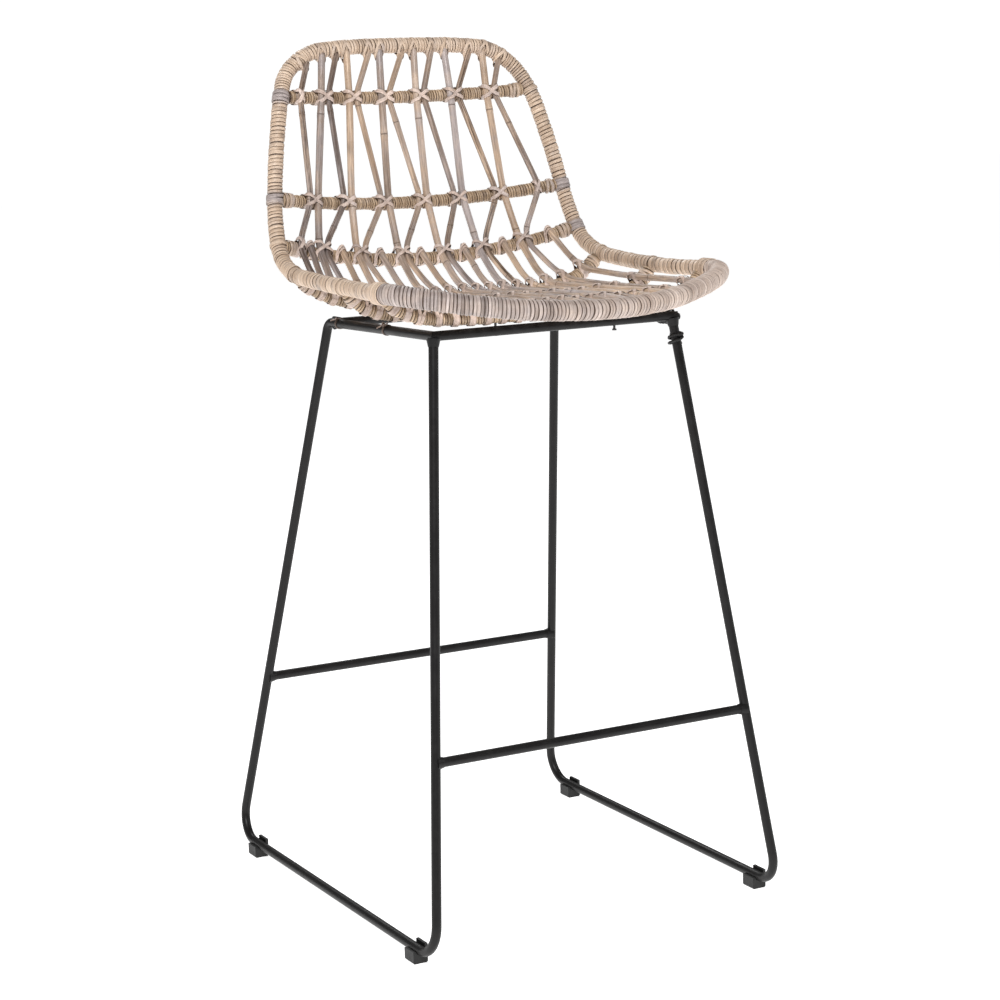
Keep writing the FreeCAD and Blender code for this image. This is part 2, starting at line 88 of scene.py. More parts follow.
HOOP_BITE, RIM_BITE, RAIL_BITE = .008, .003, .004       # how far ends run on into the rim's binding
HEAD_TRIM = .0004                                       # how far a short cane's head is drawn back
HOOK_STRIPS = [(-.50, .40, .75), (.02, .92, .5)]        # apex, feet (shares of the rail's radius) and tone
RING_STEP, RING_WIDTH, RING_THICK = .0042, .0035, .0011 # rings on a rail's end
CORD_R = .0016
LOOSE = .0003                                           # how far a tied strip strays from its place

# --- Steel frame -------------------------------------------------------------------------------------
BAR_R = .0055
TOP_HALF, BASE_HALF = .1545, .2265
LEG_TIE_Z, CORNER_TIE_Y = .655, -.124
TIE_SHIFT = .005                                        # how far a tie sits in front of its seat rod
FRONT_TOP, REAR_TOP = (-.142, .680), (.121, .671)       # (y, z) of the corners of the top frame
FRONT_BASE_Y, RUNNER_Z = -.252, .015

# --- Camera ------------------------------------------------------------------------------------------
CAMERA_AZIMUTH, CAMERA_ELEVATION, CAMERA_ROLL = -0.511, 0.188, -0.019
CAMERA_DISTANCE, CAMERA_TARGET, CAMERA_LENS = 2.9519, (0.0, -0.0075, 0.461), 90.21

# --- Stage -------------------------------------------------------------------------------------------
FLOOR_HALF, FLOOR_GLOW = 12, .82
WALL_LIGHT, WALL_SEEN = .20, 1.05                       # what the white walls give, and how bright they look
LAMP_TARGET = (0, 0, .6)
LAMPS = {                                               # place, width, watts
    "key": ((-1.9, -2.6, 3.0), .7, 112), "fill": ((3.2, -1.2, 1.8), 1.6, 18),
    "back": ((.5, 2.6, 3.0), 1.6, 42),
}

# --- How each cane looks, left to right: grey at its top, middle and front (0 honey, 1 lilac grey), how
# pale it is, how stained it is ------------------------------------------------------------------------
STRAIGHT_LOOKS = [((.65, .6, .5), .32, .35), ((.05, .1, .3), .58, .15), ((.85, .15, .8), .42, .45),
                  ((.6, .4, .15), .66, .15), ((1, 1, .75), .70, .10), ((.0, .0, .05), .62, .15)]
ZIGZAG_LOOKS = [((.5, .8, .5), .40, .9), ((.85, .85, .7), .18, .8), ((.2, .15, .3), .58, .35),
                ((.2, .5, .7), .50, .4), ((.4, .75, .8), .36, .55), ((.15, .3, .3), .42, .9),
                ((.4, .5, .5), .40, .4)]
SHORT_LOOKS = [((.9, .8, .6), .22, .5), ((.1, .1, .25), .50, .3), ((.6, .6, .4), .46, .3),
               ((.3, .5, .3), .48, .2), ((.4, .3, .5), .62, .2), ((.2, .1, .3), .60, .2),
               ((.3, .4, .4), .52, .3)]
GREY_JOINTS = {("upper_back_rail", -1): 1.2, ("middle_back_rail", -1): .9, ("middle_back_rail", 1): 1.2,
               ("lower_back_rail", 1): 1.1}             # where grey strips bind a rail's end


# --- Routes: straight runs joined by tangent arcs ----------------------------------------------------
def bend(before, corner, after, share=BEND_SHARE):
    """Start of the arc that rounds a corner, its middle, its end, its centre."""
    back, ahead = before - corner, after - corner
    run = min(back.length, ahead.length)
    back, ahead = back.normalized(), ahead.normalized()
    half_turn = (math.pi - back.angle(ahead)) / 2
    reach = share * run
    radius = reach / math.tan(half_turn)
    inward = (back + ahead).normalized()
    centre = corner + inward * (radius / math.cos(half_turn))
    return corner + back * reach, centre - inward * radius, corner + ahead * reach, centre


def corners_through(points, shares=None):
    """Corners of a route whose bends have their middles on the given points."""
    corners = list(points)
    shares = shares or [BEND_SHARE] * (len(points) - 2)
    for _ in range(8):
        for i in range(1, len(points) - 1):
            corners[i] = corners[i] + points[i] - bend(*corners[i - 1:i + 2], share=shares[i - 1])[1]
    return corners


def route(corners, shares=None, step=.002):
    """Closely spaced points along straight runs with an arc at every corner between."""
    line, at = [corners[0]], corners[0]

    def run_to(end):
        count = max(1, round((end - at).length / step))
        line.extend(at.lerp(end, k / count) for k in range(1, count + 1))

    for i in range(1, len(corners) - 1):
        start, _, end, centre = bend(*corners[i - 1:i + 2], shares[i - 1] if shares else BEND_SHARE)
        run_to(start)
        first, last = start - centre, end - centre
        axis, turn = first.cross(last).normalized(), first.angle(last)
        count = max(2, round(turn * first.length / step))
        line.extend(centre + Matrix.Rotation(turn * k / count, 3, axis) @ first for k in range(1, count + 1))
        at = end
    run_to(corners[-1])
    return line


def mirrored(points):
    return [Vector((-p.x, p.y, p.z)) for p in reversed(points)]


def rim_corners():
    """Corners of the back hoop and of the front rod, which meet halfway between two corners."""
    half = [Vector(p) for p in RIM_BACK + RIM_FRONT]
    loop = mirrored(half) + half
    corners = corners_through(loop[-3:] + loop + loop[:3])[3:-3]
    front, last = len(RIM_FRONT), len(loop) - len(RIM_FRONT)
    left = (corners[front - 1] + corners[front]) * 0.5
    right = (corners[last - 1] + corners[last]) * 0.5
    return [left] + corners[front:last] + [right], [right] + corners[last:] + corners[:front] + [left]


HOOP_CORNERS, FRONT_CORNERS = rim_corners()
HOOP_LINE, FRONT_LINE = route(HOOP_CORNERS), route(FRONT_CORNERS)


def rail_axis(name, share):
    """A point on the axis of a cross rod, share of the way from its middle to the rim."""
    end, middle, power = RAILS[name]
    rise, sag = abs(share) ** power, share * share
    return Vector((end[0] * share, middle[0] + (end[1] - middle[0]) * sag,
                   middle[1] + (end[2] - middle[1]) * rise))


def off_rim(end, inner, radius, rim_radius=HOOP_R):
    """The end of a rod or cane, drawn back along its last run until its flat end clears the rim."""
    line = HOOP_LINE + FRONT_LINE
    step = (inner - end).normalized()
    for _ in range(200):
        near = min(range(1, len(line) - 1), key=lambda k: (line[k] - end).length)
        slant = abs((line[near + 1] - line[near - 1]).normalized().dot(step))
        if (line[near] - end).length >= rim_radius + END_CLEAR + radius * slant:
            break
        end = end + step * .00025
    return end


def rail_corners(name):
    """Corners of a cross rod's route, stopped at the rim's surface at each end."""
    stations = BACK_STATIONS if RAILS[name][2] == 2 else SEAT_STATIONS
    points = [rail_axis(name, s) for s in reversed(stations)]
    points = corners_through(mirrored(points) + points)
    for end, inner in ((0, 1), (-1, -2)):
        points[end] = off_rim(points[end], points[inner], RAIL_R)
    return points


RAIL_CORNERS = {name: rail_corners(name) for name in RAILS}
RAIL_LINES = {name: route(corners, step=.0015) for name, corners in RAIL_CORNERS.items()}


def at_x(line, x):
    """The point of a route at a given x, and its direction there."""
    i = min(range(1, len(line) - 1), key=lambda k: abs(line[k].x - x))
    along = line[i + 1] - line[i - 1]
    return line[i] + along * ((x - line[i].x) / along.x), along.normalized()


def outward(along, before, after):
    """The direction square to a rail and to the canes over it, on the sitter's side."""
    out = along.cross(after - before).normalized()
    return -out if out.z - out.y < 0 else out


def on_rails(xs, radius, names):
    """Where a cane's axis crosses each rail, lying on the sitter's side of it."""
    axes = [at_x(RAIL_LINES[name], x) for name, x in zip(names, xs)]
    points = []
    for i, (axis, along) in enumerate(axes):
        out = outward(along, axes[max(i - 1, 0)][0], axes[min(i + 1, len(axes) - 1)][0])
        points.append(axis + out * (RAIL_R + radius + CLEAR))
    return points


def front_end(x, inner, radius):
    nearest = min(FRONT_LINE, key=lambda p: abs(p.x - x))
    return off_rim(nearest - Vector((0, 0, RIM_DROP)), inner, radius, FRONT_R)


def seat_xs(index):
    return [SEAT_X[index] * spread for spread in SEAT_SPREAD]


def long_cane(top_x, back_xs, seat_index, radius):
    """A cane from the top of the hoop down the back and forward over the seat."""
    points = on_rails(back_xs + seat_xs(seat_index), radius, RAIL_ORDER)
    top = at_x([p for p in HOOP_LINE if p.z > .940], top_x)[0]
    top = off_rim(top + Vector((0, -.003, 0)), points[0], radius)
    return [top] + points + [front_end(SEAT_X[seat_index], points[-1], radius)]


def straight_cane(n):
    left = PAIR_GAP / 2
    back = [UPPER_PAIR_X[n] - left, MIDDLE_PAIR_X[n] + left, LOWER_PAIR_X[n] - left]
    return long_cane(TOP_STRAIGHT_X[n], back, 3 * n + 2, STRAIGHT_R)


def zigzag_cane(n):
    right = PAIR_GAP / 2
    upper = UPPER_PAIR_X[n - 1] + right if n else UPPER_FIRST_X
    middle = MIDDLE_PAIR_X[n] - right if n < len(MIDDLE_PAIR_X) else MIDDLE_LAST_X
    lower = LOWER_PAIR_X[n - 1] + right if n else LOWER_FIRST_X
    return long_cane(TOP_ZIGZAG_X[n], [upper, middle, lower], 3 * n, ZIGZAG_R)


def short_cane(n):
    """A cane hooked over the lower rail, running forward over the seat."""
    index = 3 * n + 1
    points = on_rails([SHORT_X[n]] + seat_xs(index), SHORT_R, RAIL_ORDER[2:])
    stub = ((points[0] - points[1]).normalized() + Vector((0, 0, 1))).normalized()
    return [points[0] + stub * SHORT_STUB] + points + [front_end(SEAT_X[index], points[-1], SHORT_R)]


CANES = {f"straight_cane_{n + 1}": (straight_cane(n), STRAIGHT_R, STRAIGHT_LOOKS[n]) for n in range(6)}
CANES.update({f"zigzag_cane_{n + 1}": (zigzag_cane(n), ZIGZAG_R, ZIGZAG_LOOKS[n]) for n in range(7)})
CANES.update({f"short_cane_{n + 1}": (short_cane(n), SHORT_R, SHORT_LOOKS[n]) for n in range(7)})


# --- Meshes ------------------------------------------------------------------------------------------
class Path:
    """A route with a frame carried along it that doesn't twist, for laying a surface round it."""

    def __init__(self, line, first_side=(0, 0, 1)):
        self.points = np.array([tuple(p) for p in line])
        steps = np.linalg.norm(np.diff(self.points, axis=0), axis=1)
        keep = np.concatenate([[True], steps > 1e-7])
        self.points = self.points[keep]
        self.at = np.concatenate([[0], np.cumsum(np.linalg.norm(np.diff(self.points, axis=0), axis=1))])
        self.length = self.at[-1]
        self.along = np.gradient(self.points, self.at, axis=0)
        self.along /= np.linalg.norm(self.along, axis=1)[:, None]
        side = np.array(first_side, float)
        sides = []
        for t in self.along:
            side = side - (side @ t) * t
            side = side / np.linalg.norm(side)
            sides.append(side)
        self.side = np.array(sides)
        self.other = np.cross(self.along, self.side)

    def _read(self, values, s):
        return np.stack([np.interp(s, self.at, values[:, k]) for k in range(3)], axis=-1)

    def place(self, s, angle, radius):
        """Points at distance s along the path, at an angle round it and a radius from it."""
        over = np.clip(s, 0, self.length)
        middle = self._read(self.points, over) + self._read(self.along, over) * (s - over)[..., None]
        out = (self._read(self.side, over) * np.cos(angle)[..., None]
               + self._read(self.other, over) * np.sin(angle)[..., None])
        return middle + out * np.asarray(radius)[..., None]


def smooth_noise(at, spacing, rng):
    """Values between -1 and 1 that change smoothly with at, with a new random value each spacing."""
    at = np.asarray(at) / spacing
    low = math.floor(at.min())
    knots = rng.uniform(-1, 1, int(at.max() - low) + 3)
    index = np.floor(at).astype(int) - low
    share = at - np.floor(at)
    share = share * share * (3 - 2 * share)
    return knots[index] * (1 - share) + knots[index + 1] * share


def grid_faces(rows, columns, round_columns=False):
    """Quads between rows of vertices."""
    i, j = np.meshgrid(np.arange(rows - 1), np.arange(columns if round_columns else columns - 1),
                       indexing="ij")
    after = (j + 1) % columns
    quads = np.stack([i * columns + j, i * columns + after, (i + 1) * columns + after,
                      (i + 1) * columns + j], axis=-1)
    return quads.reshape(-1, 4)


class Pieces:
    """Collects surfaces and their masks into one mesh."""

    def __init__(self):
        self.points, self.faces, self.caps, self.masks, self.count = [], [], [], {}, 0

    def add(self, points, faces, masks, caps=()):
        flat = points.reshape(-1, 3)
        self.points.append(flat)
        self.faces.append(faces + self.count)
        self.caps += [[k + self.count for k in cap] for cap in caps]
        for name, values in masks.items():
            width = 3 if name == "grain" else 1
            self.masks.setdefault(name, []).append(np.asarray(values, float).reshape(len(flat), width))
        self.count += len(flat)

    def mesh(self, name, material, nodes, slot):
        """The finished object, riding on the stool in place of the CAD nodes it stands for."""
        points, quads = np.concatenate(self.points), np.concatenate(self.faces)
        data = bpy.data.meshes.new(name)
        data.from_pydata(points.tolist(), [], quads.tolist() + self.caps)
        for mask, values in self.masks.items():
            values = np.concatenate(values)
            kind = "FLOAT_VECTOR" if mask == "grain" else "FLOAT"
            layer = data.attributes.new(mask, kind, "POINT")
            layer.data.foreach_set("vector" if mask == "grain" else "value",
                                   values.astype(np.float32).ravel())
        data.materials.append(material)
        data.shade_smooth()
        data.validate()
        piece = bpy.data.objects.new(name, data)
        bpy.context.scene.collection.objects.link(piece)
        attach(piece, "root")
        if nodes:
            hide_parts(*nodes)
        return piece


STRIP_PROFILE = [(0, 0), (.03, .5), (.12, .84), (.35, 1), (.65, 1), (.88, .84), (.97, .5), (1, 0)]
AROUND = 22                                             # steps round a bound rod


def turn_edges(length, width, spread, rough, rng):
    """Where each turn of a strip starts: about a width apart, more where it is spread."""
    edges = [0.0]
    while edges[-1] < length:
        edges.append(edges[-1] + width * float(spread(edges[-1])) * (1 + rough * rng.uniform(-.22, .22)))
    edges = np.array(edges) * (length / edges[-1])
    return np.append(edges, length + width)


def wind(pieces, path, radius, thick, rng, width, grey=None, slip_by=None, gaps=.14, rough=1.0,
         spread=lambda s: 1.0, stain=.12):
    """Winds one flat strip round a path, edge to edge, over a core coloured almost wholly dark as painted
    shade in the gaps.
    Gaps is the usual share of a turn that stays open; slip_by shifts the strip along the path by its place
    and angle."""
    edges = turn_edges(path.length, width, spread, rough, rng)
    turns = len(edges) - 2
    phi = np.linspace(-1, turns, (turns + 1) * AROUND + 1)
    number = np.arange(len(edges))
    start, end = np.interp(phi, number, edges), np.interp(phi + 1, number, edges)
    start = np.where(phi < 0, 0, start)
    end = np.minimum(end, path.length)
    slip = smooth_noise(phi, .45, rng) * width * .13 * rough
    if slip_by is not None:
        slip = slip + slip_by(start, 2 * math.pi * phi)
    open_by = gaps * (1 + .6 * smooth_noise(phi, 1.3, rng) + .5 * smooth_noise(phi, .31, rng))
    open_by = np.clip(open_by, .5 * gaps, 2.6 * gaps)
    height = 1 + smooth_noise(phi, .9, rng) * .25 * rough
    tilt = smooth_noise(phi, .8, rng) * .55 * rough
    turn_tone = rng.uniform(-1, 1, turns + 3)[np.floor(phi + 1).astype(int)]
    tone = .5 + .30 * smooth_noise(phi, .93, rng) + .22 * turn_tone + .20 * smooth_noise(phi, 11, rng)
    share = np.array([t for t, _ in STRIP_PROFILE])[:, None]
    lift = np.array([h for _, h in STRIP_PROFILE])[:, None]
    s = start + slip + (end - start) * (share * (1 - open_by) + open_by / 2)
    s = np.clip(s, 0, path.length)
    rise = np.clip(lift * (height + tilt * (share - .5)), 0, 1.25) / 1.25
    r = radius - thick + thick * rise
    angle = 2 * math.pi * phi + np.zeros_like(s)
    points = path.place(s, angle, r)
    grain = np.stack([share * width + np.zeros_like(s), rise * thick,
                      phi * 2 * math.pi * radius + np.zeros_like(s)], axis=-1)
    grey_mask = np.zeros_like(s) if grey is None else grey(s)
    grey_mask = grey_mask + .10 * smooth_noise(phi, 1.1, rng) * rough
    dirt = np.maximum(0, smooth_noise(phi, .7, rng) - .70) * 2.0 * rough
    # The edge mask darkens a strip towards its edges and into the grooves between turns: painted shade.
    masks = {"grain": grain, "tone": tone + np.zeros_like(s), "grey": grey_mask,
             "stain": np.full_like(s, stain), "edge": 1 - lift + np.zeros_like(s),
             "dark": dirt + np.zeros_like(s)}
    pieces.add(points, grid_faces(len(STRIP_PROFILE), len(phi)), masks)
    core = np.linspace(0, path.length, max(3, round(path.length / .004)))
    # Painted shade: the core under the strip is coloured almost wholly dark, so the gaps between turns read
    # as shaded.
    tube(pieces, path, core, np.full(len(core), radius - thick * .92), 12, dark=.97)


def tube(pieces, path, stations, radii, around, grey=0.5, dark=0.0, tone=0.5, dent=None, stain=0.0):
    """A plain round surface on a path, closed at both ends."""
    angle = np.arange(around) * 2 * math.pi / around
    s, a = np.meshgrid(stations, angle, indexing="ij")
    r = np.asarray(radii)[:, None] + np.zeros_like(s)
    if dent is not None:
        r = r + dent
    points = path.place(s, a, r)
    grain = np.stack([np.cos(a) * r, np.sin(a) * r, s], axis=-1)
    fill = np.ones_like(s)
    dark = dark if np.ndim(dark) == 2 else np.reshape(dark, (-1, 1))
    masks = {"grain": grain, "tone": fill * np.reshape(tone, (-1, 1)),
             "grey": fill * np.reshape(grey, (-1, 1)), "dark": fill * dark, "edge": fill * 0,
             "stain": fill * stain}
    last = (len(stations) - 1) * around
    caps = [list(range(around))[::-1], [last + k for k in range(around)]]
    pieces.add(points, grid_faces(len(stations), around, round_columns=True), masks, caps)


STRIP_SECTION = [(-.5, 0), (-.5, .55), (-.38, .9), (0, 1), (.38, .9), (.5, .55), (.5, 0), (0, -.05)]


def unit(vectors):
    return vectors / np.maximum(np.linalg.norm(vectors, axis=-1, keepdims=True), 1e-9)


def ribbon(pieces, line, faces_out, width, thick, rng, closed=True, grey=.5, tone=.5, dark=0.0):
    """A flat strip along a line, its face turned outward, as a closed loop or with two cut ends."""
    if closed:
        along = unit(np.roll(line, -1, axis=0) - np.roll(line, 1, axis=0))
    else:
        along = unit(np.gradient(line, axis=0))
    face = unit(faces_out - (faces_out * along).sum(-1, keepdims=True) * along)
    across = np.cross(along, face)
    rows, columns = len(line), len(STRIP_SECTION)
    turn = np.arange(rows) / rows
    wander = smooth_noise(np.append(turn, 1), .19, rng)[:-1] * width * .12 * np.sin(turn * math.pi)
    wide = width * (1 + .14 * smooth_noise(np.append(turn, 1), .3, rng)[:-1] * np.sin(turn * math.pi))
    share = np.array([a for a, _ in STRIP_SECTION])
    height = np.array([h for _, h in STRIP_SECTION])
    side = share[None, :] * wide[:, None] + wander[:, None]
    points = (line[:, None, :] + across[:, None, :] * side[..., None]
              + face[:, None, :] * (thick * height)[None, :, None])
    run = np.concatenate([[0], np.cumsum(np.linalg.norm(np.diff(line, axis=0), axis=1))]) + rng.uniform(0, 5)
    fill = np.ones((rows, columns))
    grain = np.stack([side, fill * height * thick, fill * run[:, None]], axis=-1)
    # The edge mask darkens each strip towards its long edges: painted shade.
    masks = {"grain": grain, "tone": fill * np.clip(tone + rng.uniform(-.3, .3), 0, 1),
             "grey": fill * (grey + rng.uniform(-.2, .2)), "dark": fill * dark, "stain": fill * .12,
             "edge": fill * np.array([1, .45, 0, 0, 0, .45, 1, 1])[None, :]}
    count = rows if closed else rows - 1
    i, j = np.meshgrid(np.arange(count), np.arange(columns), indexing="ij")
    next_i, next_j = (i + 1) % rows, (j + 1) % columns
    quads = np.stack([i * columns + j, next_i * columns + j, next_i * columns + next_j, i * columns + next_j],
                     axis=-1).reshape(-1, 4)
    last = (rows - 1) * columns
    caps = [] if closed else [list(range(columns)), [last + k for k in range(columns)][::-1]]
    pieces.add(points, quads, masks, caps)


def smooth_loop(knots, closed=True, steps=7):
    """A smooth curve through some rows of numbers."""
    knots = np.asarray(knots, float)
    if not closed:
        knots = np.vstack([knots[:1] * 2 - knots[1:2], knots, knots[-1:] * 2 - knots[-2:-1]])
    before, here = np.roll(knots, 1, axis=0), knots
    after, later = np.roll(knots, -1, axis=0), np.roll(knots, -2, axis=0)
    t = (np.arange(steps) / steps)[None, :, None]
    a, b, c, d = (k[:, None, :] for k in (before, here, after, later))
    curve = .5 * (2 * b + (c - a) * t + (2 * a - 5 * b + 4 * c - d) * t * t
                  + (3 * b - a - 3 * c + d) * t ** 3)
    if closed:
        return curve.reshape(-1, knots.shape[1])
    inside = curve[1:-2].reshape(-1, knots.shape[1])
    return np.vstack([inside, knots[-2:-1]])


def around_back(side, rod):
    """Knots of a strip that passes behind a rod, from below it to above it."""
    return [(side, .7 * rod, -.74 * rod, 0, .7, -.7), (side, 0, -rod, 0, 0, -1),
            (side, -.7 * rod, -.74 * rod, 0, -.7, -.7)]


def figure_eight(rod, held, centre, reach, rise):
    """Knots of a strip crossed over what a rod holds. Rows are along the rod, down, outward and the
    direction its face looks. Rod and held are radii; centre is how far a held cane's axis lies from the
    crossing, and reach how far out it lies."""
    half, front = centre + held, reach + held
    side, tucked = half + .0001, centre + .4 * held

    def diagonal(hand, lift):
        rows = [(-tucked, -rod, .05 * rod, 0, -1, .1), (-tucked, -.93 * rod, .42 * rod, -.2, -.85, .5),
                (-side, -.82 * rod, reach - .35 * held, -.9, -.3, .3),
                (-centre - .70 * held, -.70 * rod, front - .26 * held, -.6, -.1, .8)]
        if centre:
            rows += [(-centre, -.50 * rod, front + lift, 0, 0, 1),
                     (-centre + .6 * held, -.26 * rod, front - .14 * held + lift, .3, 0, .95)]
        rows.append((0, 0, front - (.34 * held if centre else 0) + lift, 0, 0, 1))
        mirror = [(-a, -b, c, -d, -e, f) for a, b, c, d, e, f in reversed(rows[:-1])]
        rows += mirror + around_back(tucked, rod)
        return [(hand * a, b, c, hand * d, e, f) for a, b, c, d, e, f in rows]

    return diagonal(1, 0.0) + diagonal(-1, rise)


def arch(rod, held, reach, apex, foot):
    """Knots of a strip that arches over one cane and comes down on the rod at each side of it."""
    front, side = reach + held, held + .0008
    half = [(.72 * held, apex + .16 * rod, front - .32 * held, .7, -.2, .7),
            (side, (apex + foot) / 2, reach - .15 * held, 1, -.1, .3),
            (side + .0004, foot, math.sqrt(rod * rod - foot * foot) + .0002, .3, .5, .8),
            (side, .99 * rod, .1 * rod, 0, 1, .1), (.6 * side, .7 * rod, -.74 * rod, 0, .7, -.7)]
    return ([(0, apex, front + .0001, 0, -.2, 1)] + half + [(0, .5 * rod, -.9 * rod, 0, .4, -.9)]
            + [(-a, b, c, -d, e, f) for a, b, c, d, e, f in reversed(half)])


def tie_knots(pieces, place, knots, width, thick, rng, grey, tone, dark=0.0):
    """Lays a closed strip through knots given along, down and out from a place."""
    centre, *axes = (np.array(tuple(v)) for v in place)
    axes = np.array(axes)
    knots = np.array(knots)
    knots[:, :3] += rng.uniform(-LOOSE, LOOSE, (len(knots), 3))
    curve = smooth_loop(knots)
    ribbon(pieces, centre + curve[:, :3] @ axes, curve[:, 3:] @ axes, width * rng.uniform(.92, 1.1),
           thick, rng, grey=grey, tone=tone, dark=dark)


def lash(pieces, place, rod, held, centre, width, thick, rng, **look):
    """Ties what a rod holds to it with crossed strips."""
    knots = figure_eight(rod + .0002, held + .0001, centre, rod + held + CLEAR, thick * .9)
    tie_knots(pieces, place, knots, width, thick, rng, **look)


def tail(pieces, start, heading, face, reach, width, thick, rng, grey=.4, tone=.7):
    """The loose cut end of a strip."""
    start, heading = np.array(tuple(start)), unit(np.array(tuple(heading), float))
    sag = np.array([0, 0, -1.0]) * reach * rng.uniform(.1, .4)
    bow = np.cross(heading, [0, 0, 1]) * reach * rng.uniform(-.3, .3)
    steps = [start + heading * reach * t + sag * t * t + bow * math.sin(t * 3) for t in (0, .25, .5, .75, 1)]
    curve = smooth_loop([np.concatenate([at, tuple(face)]) for at in steps], closed=False)
    ribbon(pieces, curve[:, :3], curve[:, 3:], width, thick, rng, closed=False, grey=grey, tone=tone)


def ring(pieces, path, s, radius, width, thick, rng, slope=0.0, grey=.5, tone=.5, dark=0.0):
    """A turn of strip round a path, leaning along it by slope."""
    angle = np.arange(36) * math.tau / 36
    at = s + slope * radius * np.cos(angle + rng.uniform(0, 6))
    line = path.place(at, angle, np.full(36, radius))
    middle = path.place(at, angle, np.zeros(36))
    ribbon(pieces, line, line - middle, width, thick, rng, grey=grey, tone=tone, dark=dark)


# --- Shader node groups ------------------------------------------------------------------------------
def new_group(name, inputs, outputs):
    """An empty shader node group with named sockets."""
    group = bpy.data.node_groups.new(name, "ShaderNodeTree")
    for kind, names in (("INPUT", inputs), ("OUTPUT", outputs)):
        for socket_name, socket_type, *default in names:
            socket = group.interface.new_socket(socket_name, in_out=kind, socket_type=socket_type)
            if default:
                socket.default_value = default[0]
    return group, group.nodes.new("NodeGroupInput"), group.nodes.new("NodeGroupOutput")


def node(tree, kind, values=(), **settings):
    """A node with its settings and its unlinked values."""
    made = tree.nodes.new("ShaderNode" + kind)
    for key, value in settings.items():
        setattr(made, key, value)
    for key, value in dict(values).items():
        made.inputs[key].default_value = value
    return made


def mix(tree, blend="MIX"):
    """Factor, first and second inputs and result of a new colour mix node."""
    made = node(tree, "Mix", data_type="RGBA", blend_type=blend)
    return made.inputs[0], made.inputs[6], made.inputs[7], made.outputs[2]


def fibre_group():
    """Streaks and pores that run along a strip or cane. Vector z runs along the fibre."""
    group, given, result = new_group(
        "Fibre Grain", [("Vector", "NodeSocketVector"), ("Streak Scale", "NodeSocketFloat", 900.0),
                        ("Stretch", "NodeSocketFloat", .04), ("Pore Scale", "NodeSocketFloat", 300.0)],
        [("Streaks", "NodeSocketFloat"), ("Pores", "NodeSocketFloat"), ("Stains", "NodeSocketFloat"),
         ("Height", "NodeSocketFloat")])
    link = group.links.new
    squeeze = node(group, "CombineXYZ", {"X": 1.0, "Y": 1.0})
    link(given.outputs["Stretch"], squeeze.inputs["Z"])
    stretched = node(group, "VectorMath", operation="MULTIPLY")
    link(given.outputs["Vector"], stretched.inputs[0])
    link(squeeze.outputs[0], stretched.inputs[1])
    streaks = node(group, "TexNoise", {"Detail": 4.0, "Roughness": .65})
    link(stretched.outputs[0], streaks.inputs["Vector"])
    link(given.outputs["Streak Scale"], streaks.inputs["Scale"])
    contrast = node(group, "MapRange", {"From Min": .32, "From Max": .68})
    link(streaks.outputs["Fac"], contrast.inputs["Value"])
    pores = node(group, "TexNoise", {"Detail": 3.0, "Roughness": .6})
    link(given.outputs["Vector"], pores.inputs["Vector"])
    link(given.outputs["Pore Scale"], pores.inputs["Scale"])
    pore_mask = node(group, "MapRange", {"From Min": .58, "From Max": .72})
    link(pores.outputs["Fac"], pore_mask.inputs["Value"])
    stains = node(group, "TexNoise", {"Scale": 420.0, "Detail": 3.0, "Roughness": .7})
    link(stretched.outputs[0], stains.inputs["Vector"])
    stain_mask = node(group, "MapRange", {"From Min": .47, "From Max": .60})
    link(stains.outputs["Fac"], stain_mask.inputs["Value"])
    link(stain_mask.outputs[0], result.inputs["Stains"])
    height = node(group, "Math", {1: .8, 2: 0.0}, operation="MULTIPLY_ADD")
    link(contrast.outputs[0], height.inputs[0])
    link(pores.outputs["Fac"], height.inputs[2])
    link(contrast.outputs[0], result.inputs["Streaks"])
    link(pore_mask.outputs[0], result.inputs["Pores"])
    link(height.outputs[0], result.inputs["Height"])
    return group


def wash_and_shade_group():
    """Blotches of grey wash that has been rubbed back, and painted shade in the grooves between turns,
    darkest at a strip's edges.
    """
    group, given, result = new_group(
        "Grey Wash and Painted Shade", [("Grey", "NodeSocketFloat", .5), ("Edge", "NodeSocketFloat", 0.0),
                      ("Blotch Scale", "NodeSocketFloat", 60.0)],
        [("Wash", "NodeSocketFloat"), ("Groove", "NodeSocketFloat")])
    link = group.links.new
    place = node(group, "TexCoord")
    blotch = node(group, "TexNoise", {"Detail": 5.0, "Roughness": .6})
    link(place.outputs["Object"], blotch.inputs["Vector"])
    link(given.outputs["Blotch Scale"], blotch.inputs["Scale"])
    shifted = node(group, "Math", {1: 1.0, 2: -.5}, operation="MULTIPLY_ADD")
    link(blotch.outputs["Fac"], shifted.inputs[0])
    spread = node(group, "Math", {1: 1.6}, operation="MULTIPLY_ADD")
    link(shifted.outputs[0], spread.inputs[0])
    link(given.outputs["Grey"], spread.inputs[2])
    wash = node(group, "Clamp")
    link(spread.outputs[0], wash.inputs["Value"])
    # Painted shade: the edge mask darkens the grooves between the turns of a strip.
    shade_and_dirt = node(group, "MapRange", {"From Min": .22, "From Max": .85})
    link(given.outputs["Edge"], shade_and_dirt.inputs["Value"])
    link(wash.outputs[0], result.inputs["Wash"])
    link(shade_and_dirt.outputs[0], result.inputs["Groove"])
    return group


